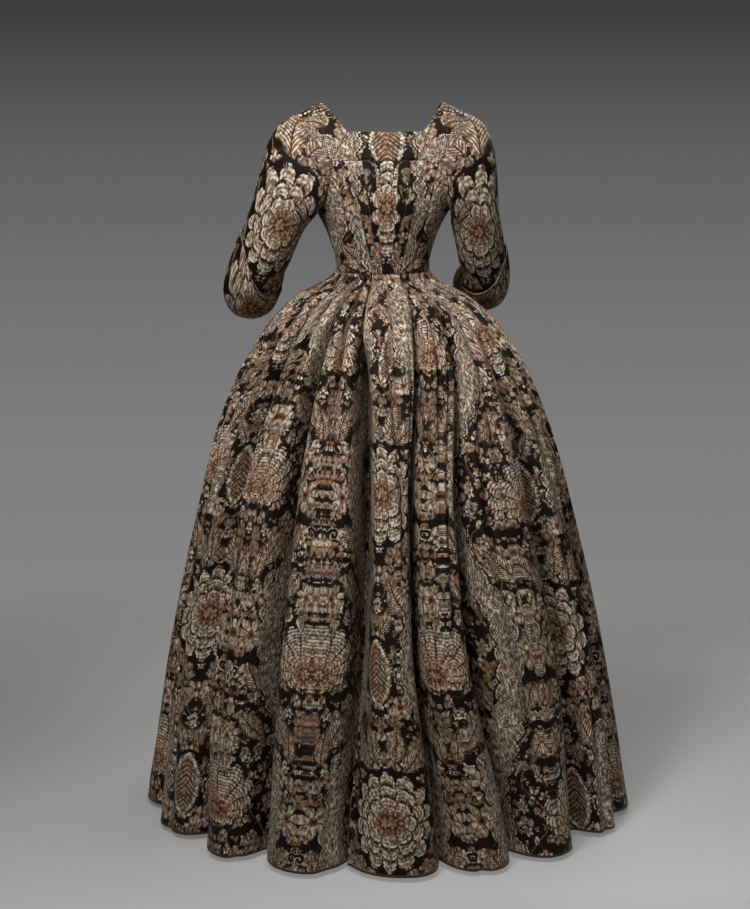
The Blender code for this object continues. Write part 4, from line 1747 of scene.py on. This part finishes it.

# Soft troughs between the folds: place in folds, drift over the height, width in folds,
# depth, and the heights above the floor between which each one runs.
TROUGHS = (
    (0.35, 0.30, 0.10, 0.007, 0.75, 0.05),
    (0.80, -0.20, 0.07, 0.009, 0.97, 0.35),
    (1.42, 0.25, 0.09, 0.008, 0.62, -0.10),
    (1.86, -0.05, 0.05, 0.030, 0.94, 0.20),
    (2.12, 0.05, 0.05, 0.034, 0.90, 0.10),
    (2.30, 0.20, 0.07, 0.012, 0.92, 0.15),
    (2.68, 0.10, 0.06, 0.008, 0.60, -0.10),
    (3.36, -0.20, 0.07, 0.011, 0.98, 0.30),
    (3.70, 0.15, 0.08, 0.009, 0.70, -0.10),
    (4.26, 0.10, 0.06, 0.012, 1.00, 0.42),
    (4.56, 0.40, 0.05, 0.017, 1.02, 0.50),
    (4.83, 0.00, 0.04, 0.007, 1.02, 0.60),
    (5.30, 0.20, 0.07, 0.009, 0.66, -0.10),
    (5.64, -0.10, 0.06, 0.012, 0.99, 0.35),
    (6.34, 0.15, 0.08, 0.012, 0.90, 0.10),
    (6.86, -0.05, 0.05, 0.034, 0.92, -0.10),
    (7.13, 0.05, 0.05, 0.034, 0.86, -0.20),
    (7.32, 0.10, 0.07, 0.008, 0.60, -0.10),
    (7.66, -0.15, 0.07, 0.011, 0.94, 0.25),
    (8.38, 0.20, 0.08, 0.009, 0.76, 0.00),
    (8.74, 0.00, 0.06, 0.008, 0.98, 0.45),
    (9.36, 0.20, 0.08, 0.009, 0.70, -0.10),
    (9.72, -0.10, 0.06, 0.010, 0.98, 0.40),
    (10.40, 0.15, 0.09, 0.008, 0.85, 0.20),
    (11.30, -0.20, 0.07, 0.010, 0.66, -0.10),
    (11.66, 0.10, 0.06, 0.009, 0.99, 0.38),
    (12.40, 0.20, 0.08, 0.010, 0.90, 0.12),
    (12.74, -0.10, 0.06, 0.008, 0.62, -0.10),
    (13.32, -0.15, 0.07, 0.010, 0.97, 0.30),
    (13.70, 0.10, 0.08, 0.009, 0.72, 0.00),
    (14.42, 0.20, 0.07, 0.010, 0.93, 0.22),
    (15.30, -0.10, 0.08, 0.009, 0.68, -0.10),
    (15.70, 0.15, 0.06, 0.010, 0.99, 0.42),
    (16.38, 0.20, 0.08, 0.009, 0.88, 0.10),
    (17.30, -0.15, 0.07, 0.008, 0.64, -0.10),
    (17.66, 0.10, 0.06, 0.010, 0.97, 0.36),
)

# How the folds sway down their length: radians a metre, radians from fold to fold, and degrees
SWAYS = ((7.0, 2.1, 0.9), (13.0, 4.7, 0.4))

# Each breadth with its first fold and how far down the pattern it was cut
SKIRT_BREADTHS = (
    ("skirt_left_back", 0, 0.27),
    ("skirt_back", 3, 0.0),
    ("skirt_right_back", 6, 0.31),
    ("skirt_right_front", 9, 0.0),
    ("skirt_front", 12, 0.28),
    ("skirt_left_front", 15, 0.03),
)


@dataclass
class Skirt:
    """Six breadths of silk, pleated into the waist and seamed in the valleys of the folds."""

    finishes: Finishes
    power: float = 2.15
    right_spread: float = 0.042
    folds_per_breadth: int = 3
    steps_per_fold: int = 56
    rows: int = 138
    pleat_crease: float = 0.021
    pleat_crease_width: float = 0.11
    turn_in: float = 0.011
    centre_fold: int = 4
    centre_front_fold: int = 13
    centre_width: float = 34.0
    roundness: float = 2.3
    flatness: float = 0.9
    round_height: float = 0.5
    valley_softness: float = 0.0016
    sway_run: tuple[float, float] = (0.35, 0.30)
    bow_run: tuple[float, float] = (0.45, 0.35)
    crease_run: tuple[float, float] = (0.80, 0.12)
    trough_run: float = 0.12
    trough_middle: float = 0.6
    pleats_per_fold: int = 2
    pleat_peak: float = 0.2
    plain_level: float = 0.2
    pleat_start: float = 0.70
    pleat_run: float = 0.22
    row_spacing: float = 0.86
    hidden_from: float = 0.84

    def build(self) -> None:
        """Builds and dresses the six breadths."""
        for name, first, drop in SKIRT_BREADTHS:
            self.breadth(name, first, drop)

    def waist_edges(self) -> Array:
        """Returns where each fold starts at the waist, in degrees from the centre back."""
        count = len(FOLDS)
        others = (360.0 - self.centre_width) / (count - 1)
        widths = np.full(count, others)
        widths[self.centre_fold] = self.centre_width
        first = -self.centre_width / 2.0 - self.centre_fold * others
        return first + np.concatenate([[0.0], np.cumsum(widths)])

    def hem_angle(self, index: int, share: Array) -> Array:
        """Returns the angle at the hem at shares of the way across a fold."""
        crest, valley, _ = FOLDS[index]
        before = FOLDS[index - 1][1] - (360.0 if index == 0 else 0.0)
        return np.where(
            share < 0.5,
            lerp(before, crest, 2.0 * share),
            lerp(crest, valley, 2.0 * share - 1.0),
        )

    def pleat_level(self, index: int, share: Array) -> Array:
        """Returns the level of the waist pleats, folded towards the centre back.

        Args:
            index: the fold's number.
            share: shares of the way across the fold.

        Returns:
            1 on a folded edge and 0 in the crease beside it.
        """
        if index == self.centre_fold:
            return np.full_like(share, self.plain_level)
        across = (self.pleats_per_fold * share) % 1.0
        if index < self.centre_fold or index >= self.centre_front_fold:
            across = 1.0 - across
        rise = across / self.pleat_peak
        fall = (1.0 - across) / (1.0 - self.pleat_peak)
        return np.minimum(rise, fall)

    def angle(self, index: int, share: Array, height: Array) -> Array:
        """Returns the angle round the skirt, from the centre back towards the wearer's right.

        Args:
            index: the fold's number.
            share: shares of the way across it, as a row.
            height: heights above the floor, as a column.

        Returns:
            The grid of angles in radians.
        """
        edges = self.waist_edges()
        at_waist = lerp(edges[index], edges[index + 1], share)
        angle = lerp(at_waist, self.hem_angle(index, share), SKIRT_FORM.read(height, "fan"))
        sway = sum(np.sin(height * pitch + index * step) * size for pitch, step, size in SWAYS)
        sway = sway * self.between_ends(height, self.sway_run)
        bow = lerp(CREASES[index - 1][0], CREASES[index][0], share)
        bow = bow * self.between_ends(height, self.bow_run)
        return np.radians(angle + sway * np.sin(math.pi * share) ** 2 + bow)

    def between_ends(self, height: Array, run: tuple[float, float]) -> Array:
        """Returns 1 between hem and waist, running out to 0 at both in the lengths given."""
        return smooth(height / run[0]) * smooth((1.0 - height) / run[1])

    def ring(self, side: Array, back: Array, height: Array) -> Array:
        """Returns how far the skirt's plain round lies from the middle.

        Args:
            side: sideways part of each direction.
            back: its part towards the back.
            height: heights above the floor.

        Returns:
            The distances.
        """
        depth = np.where(
            back > 0.0, SKIRT_FORM.read(height, "back"), SKIRT_FORM.read(height, "front")
        )
        spread = self.right_spread * SKIRT_FORM.read(height, "fold") * (side < 0.0)
        half = SKIRT_FORM.read(height, "half_width") * (1.0 + spread)
        ring = (np.abs(side) / half) ** self.power + (np.abs(back) / depth) ** self.power
        return ring ** (-1.0 / self.power)

    def depths(self, index: int, share: Array, height: Array) -> Iterator[Array]:
        """Yields how far in the fold, its creases, the troughs and the waist pleats lie.

        Args:
            index: the fold's number.
            share: shares of the way across it, as a row.
            height: heights above the floor, as a column.

        Yields:
            Grids of depths in metres.
        """
        off = np.abs(2.0 * share - 1.0)
        off = np.minimum(off, 1.0 - np.sqrt((1.0 - off) ** 2 + self.valley_softness))
        roundness = self.roundness + self.flatness * smooth(height / self.round_height)
        valley = np.maximum(off, 0.0) ** roundness
        yield FOLDS[index][2] * SKIRT_FORM.read(height, "fold") * valley
        rise, fade = self.crease_run
        for crease, away in ((index - 1, share), (index, 1.0 - share)):
            _, width, depth, top, bottom = CREASES[crease]
            runs = smooth((height - bottom) / rise) * smooth((top - height) / fade)
            yield depth * runs * np.exp(-((2.0 * away / width) ** 2))
        yield self.troughs(index + share, height)
        yield SKIRT_FORM.read(height, "pleat") * (1.0 - self.pleat_level(index, share))
        if index != self.centre_fold:
            beside = np.abs((self.pleats_per_fold * share + 0.5) % 1.0 - 0.5)
            sharp = np.exp(-((beside / self.pleat_crease_width) ** 2))
            yield self.pleat_crease * sharp * smooth((height - self.pleat_start) / self.pleat_run)

    def at(self, index: int, share: Array, height: Array) -> Array:
        """Returns points of a fold's outer face.

        Args:
            index: the fold's number.
            share: shares of the way across it, as a row.
            height: heights above the floor, as a column.

        Returns:
            The grid of points.
        """
        angle = self.angle(index, share, height)
        side, back = -np.sin(angle), np.cos(angle)
        radius = self.ring(side, back, height)
        for depth in self.depths(index, share, height):
            radius = radius - depth
        waist = TORSO.reach(side, back, WAIST_HEIGHT) + SEAM_GAP
        radius = lerp(radius, waist, smooth((height - WAIST_HEIGHT) / self.turn_in + 1.0))
        return above_floor(side * radius, back * radius, height)

    def troughs(self, place: Array, height: Array) -> Array:
        """Returns the depth of the soft troughs at places counted in folds.

        Args:
            place: places round the skirt, as a row.
            height: heights above the floor, as a column.

        Returns:
            The grid of depths in metres.
        """
        total = np.zeros(np.broadcast(place, height).shape)
        for start, drift, width, depth, top, bottom in TROUGHS:
            off = (place - start - drift * (self.trough_middle - height)) / width
            runs = smooth((top - height) / self.trough_run)
            runs = runs * smooth((height - bottom) / self.trough_run)
            total = total + depth * runs * np.exp(-(off**2))
        return total

    def breadth(self, name: str, first: int, drop: float) -> None:
        """Builds one breadth of three folds.

        Args:
            name: the breadth's name, which is its node's too.
            first: number of its first fold.
            drop: how far down the pattern the breadth was cut.
        """
        binding = HEM_HEIGHT + BINDING_WIDTH
        rises = lerp(binding, WAIST_HEIGHT, np.linspace(0.0, 1.0, self.rows) ** self.row_spacing)
        height = np.concatenate([[HEM_HEIGHT], rises])[:, None]
        parts = []
        for index in range(first, first + self.folds_per_breadth):
            last = index == first + self.folds_per_breadth - 1
            share = np.linspace(0.0, 1.0, self.steps_per_fold + 1)
            share = share if last else share[:-1]
            parts.append(self.at(index, share[None, :], height))
        points = np.concatenate(parts, axis=1)
        cloth = self.laid_flat(points) + np.array([0.0, drop])
        made = ClothPiece(
            name + "_cloth", self.seamed(points, first), cloth, SKIRT_WALL, name,
            Slot.BROCADE, Held.GATHERED, ("waist seam",), edge=Edge.BOUND,
        )
        made.build(self.finishes)

    def seamed(self, points: Array, first: int) -> Array:
        """Returns a breadth with room at its seams, but none where the centre back runs on.

        Args:
            points: the breadth's grid.
            first: number of its first fold.

        Returns:
            The grid with its edges drawn in.
        """
        drawn = draw_in(points, "tlr")
        start = (self.centre_fold - first) * self.steps_per_fold
        if 0 <= start < self.folds_per_breadth * self.steps_per_fold:
            uncut = slice(start, start + self.steps_per_fold + 1)
            drawn[-1, uncut] = points[-1, uncut]
        return drawn

    def laid_flat(self, points: Array) -> Array:
        """Returns each point's place on the flat breadth.

        The pattern keeps its scale where the cloth shows, and what the pleats hide is folded into
        their creases.

        Args:
            points: the breadth's grid.

        Returns:
            A grid of places in metres, weft first.
        """
        u = along(points, 1)
        hem = u[:1]
        pleats = self.folds_per_breadth * self.pleats_per_fold
        per_pleat = self.steps_per_fold // self.pleats_per_fold
        flat = np.array(u)
        for pleat in range(pleats):
            start, stop = pleat * per_pleat, (pleat + 1) * per_pleat
            shown = u[:, start : stop + 1] - u[:, start : start + 1]
            whole = hem[:, stop] - hem[:, start]
            middle = (hem[:, stop] + hem[:, start]) / 2.0
            width = shown[:, -1:]
            true_scale = middle + shown - width / 2.0
            share = np.linspace(0.0, 1.0, per_pleat + 1)[None, :]
            hidden = (whole - width) / 2.0
            way = 2.0 * share - 1.0
            ends = np.maximum(0.0, np.abs(way) - self.hidden_from) / (1.0 - self.hidden_from)
            flat[:, start : stop + 1] = true_scale + hidden * np.sign(way) * ends
        flat = flat - hem[:, -1:] / 2.0
        length = along(points, 0).mean(axis=1)[:, None]
        v = length - length[-1:] + np.zeros_like(u)
        return np.stack([flat, v], axis=-1)


# Lamps: name, place, side, power in watts, and degrees in which the grid lets light out
LAMPS = (
    ("key", (1.9, 2.9, 2.5), 1.1, 8.6, 40.0),
    ("fill", (-2.6, 3.0, 2.1), 2.0, 2.2, 60.0),
    ("top", (0.4, 1.0, 2.2), 1.2, 6.8, 60.0),
    ("front", (-1.5, -3.4, 1.4), 2.6, 60.0, 180.0),
)

# Painted shade of the backdrop: greys from pale below the horizon (0), where the light falls, to
# dark just above it (1), where the light falls off
BACKDROP_PAINTED_SHADE = ((0.0, 0.235), (0.23, 0.212), (0.45, 0.168), (0.67, 0.114), (0.86, 0.045))


@dataclass
class Studio:
    """A pale floor that fades into a grey backdrop, soft light and the photograph's camera."""

    floor_reach: float = 3.4
    fade_start: float = 0.75
    fade_end: float = 2.1
    backdrop_rise: tuple[float, float] = (-0.25, 0.05)
    air: float = 0.030
    aim_height: float = -0.05
    # Painted light on the floor: the strength of its emission, where it starts and how far it grows
    # towards the camera
    painted_floor_light: float = 0.26
    painted_light_start: float = 0.7
    painted_light_reach: float = 1.3
    camera_side: float = 0.396
    camera_distance: float = 4.462
    camera_height: float = 1.533
    camera_yaw: float = 4.887
    camera_pitch: float = 10.554
    focal_pixels: float = 2283.0
    image_height: float = 909.0
    sensor: float = 36.0

    def build(self) -> None:
        """Sets up the floor, the lights, the backdrop's tones and the camera."""
        self.floor()
        for lamp in LAMPS:
            self.light(*lamp)
        self.backdrop()
        self.camera()

    def floor(self) -> None:
        """Lays the floor, which turns clear away from the gown, where the backdrop shows, and glows
        with painted light that grows towards the camera side.
        """
        bpy.ops.object.select_all(action="DESELECT")
        bpy.ops.mesh.primitive_circle_add(
            vertices=96, radius=self.floor_reach, fill_type="NGON",
            location=(0.0, 0.0, -SHOULDER_HEIGHT),
        )
        floor = bpy.context.object
        floor.name = "studio_floor"
        draft = Draft("studio_floor")
        place = draft.node("ShaderNodeTexCoord")
        length = draft.node("ShaderNodeVectorMath", operation="LENGTH")
        draft.tree.links.new(place.outputs["Object"], length.inputs[0])
        fade = draft.node("ShaderNodeMapRange", interpolation_type="SMOOTHSTEP")
        fade.inputs["From Min"].default_value = self.fade_start
        fade.inputs["From Max"].default_value = self.fade_end
        fade.inputs["To Min"].default_value = 1.0
        fade.inputs["To Max"].default_value = 0.0
        draft.tree.links.new(length.outputs["Value"], fade.inputs["Value"])
        draft.plug(draft.shader.inputs["Alpha"], Term(draft, fade.outputs[0]))
        draft.shader.inputs["Base Color"].default_value = (0.40, 0.395, 0.385, 1.0)
        # The floor's emission is painted light, brighter towards the camera, standing in for lamp
        # light falling on the floor
        _, towards_camera = draft.parts(place.outputs["Object"])
        painted_light_share = draft.math(
            "DIVIDE", towards_camera + self.painted_light_start, self.painted_light_reach, clamp=True
        )
        draft.plug(draft.shader.inputs["Emission Strength"], painted_light_share * painted_light_share * self.painted_floor_light)
        draft.shader.inputs["Emission Color"].default_value = (1.0, 1.0, 0.99, 1.0)
        draft.shader.inputs["Roughness"].default_value = 0.85
        draft.shader.inputs["Specular IOR Level"].default_value = 0.15
        floor.data.materials.append(draft.material)

    def light(
        self, name: str, place: Sequence[float], size: float, power: float, spread: float
    ) -> None:
        """Hangs a square soft box that faces the gown's bodice.

        Args:
            name: the light's name.
            place: where it hangs.
            size: its side.
            power: its power in watts.
            spread: the angle that its grid lets the light out in, in degrees.
        """
        data = bpy.data.lights.new(name, "AREA")
        data.size = size
        data.energy = power
        data.spread = math.radians(spread)
        lamp = bpy.data.objects.new(name, data)
        lamp.location = place
        aim = Vector((0.0, 0.0, self.aim_height)) - lamp.location
        lamp.rotation_euler = aim.to_track_quat("-Z", "Y").to_euler()
        bpy.context.scene.collection.objects.link(lamp)

    def backdrop(self) -> None:
        """Gives the air round the gown the backdrop's greys, a painted shade from pale below to
        dark above.
        """
        world = bpy.data.worlds.new("studio")
        bpy.context.scene.world = world
        world.use_nodes = True
        tree = world.node_tree
        place = tree.nodes.new("ShaderNodeTexCoord")
        split = tree.nodes.new("ShaderNodeSeparateXYZ")
        ramp = tree.nodes.new("ShaderNodeValToRGB")
        spread = tree.nodes.new("ShaderNodeMapRange")
        tree.links.new(place.outputs["Generated"], split.inputs[0])
        tree.links.new(split.outputs[2], spread.inputs["Value"])
        tree.links.new(spread.outputs[0], ramp.inputs[0])
        spread.inputs["From Min"].default_value = self.backdrop_rise[0]
        spread.inputs["From Max"].default_value = self.backdrop_rise[1]
        # The ramp's greys are painted shade, darker upwards
        elements = ramp.color_ramp.elements
        while len(elements) < len(BACKDROP_PAINTED_SHADE):
            elements.new(1.0)
        for element, (rise, grey) in zip(elements, BACKDROP_PAINTED_SHADE):
            element.position = rise
            element.color = (grey, grey, grey, 1.0)
        seen = tree.nodes["Background"]
        tree.links.new(ramp.outputs[0], seen.inputs["Color"])
        air = tree.nodes.new("ShaderNodeBackground")
        air.inputs["Color"].default_value = (self.air, self.air, self.air, 1.0)
        ray = tree.nodes.new("ShaderNodeLightPath")
        both = tree.nodes.new("ShaderNodeMixShader")
        tree.links.new(ray.outputs["Is Camera Ray"], both.inputs[0])
        tree.links.new(air.outputs[0], both.inputs[1])
        tree.links.new(seen.outputs[0], both.inputs[2])
        tree.links.new(both.outputs[0], tree.nodes["World Output"].inputs["Surface"])

    def camera(self) -> None:
        """Stands the camera behind the gown, a little above its middle."""
        data = bpy.data.cameras.new("camera")
        data.sensor_width = self.sensor
        data.lens = self.sensor * self.focal_pixels / self.image_height
        camera = bpy.data.objects.new("camera", data)
        camera.location = (
            self.camera_side, self.camera_distance, self.camera_height - SHOULDER_HEIGHT
        )
        camera.rotation_euler = (
            math.radians(90.0 - self.camera_pitch), 0.0, math.radians(180.0 - self.camera_yaw)
        )
        bpy.context.scene.collection.objects.link(camera)
        bpy.context.scene.camera = camera


def main() -> None:
    """Builds the gown's cloth over its solids and sets up the studio."""
    logging.basicConfig(level=logging.INFO, format="%(name)s: %(message)s")
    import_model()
    bpy.context.scene.view_settings.view_transform = "Standard"
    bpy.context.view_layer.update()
    finishes = Finishes.woven()
    Bodice(finishes).build()
    for side in Side:
        Sleeve(finishes, side, *ARMS[side]).build()
    Skirt(finishes).build()
    Studio().build()


if __name__ == "__main__":
    main()
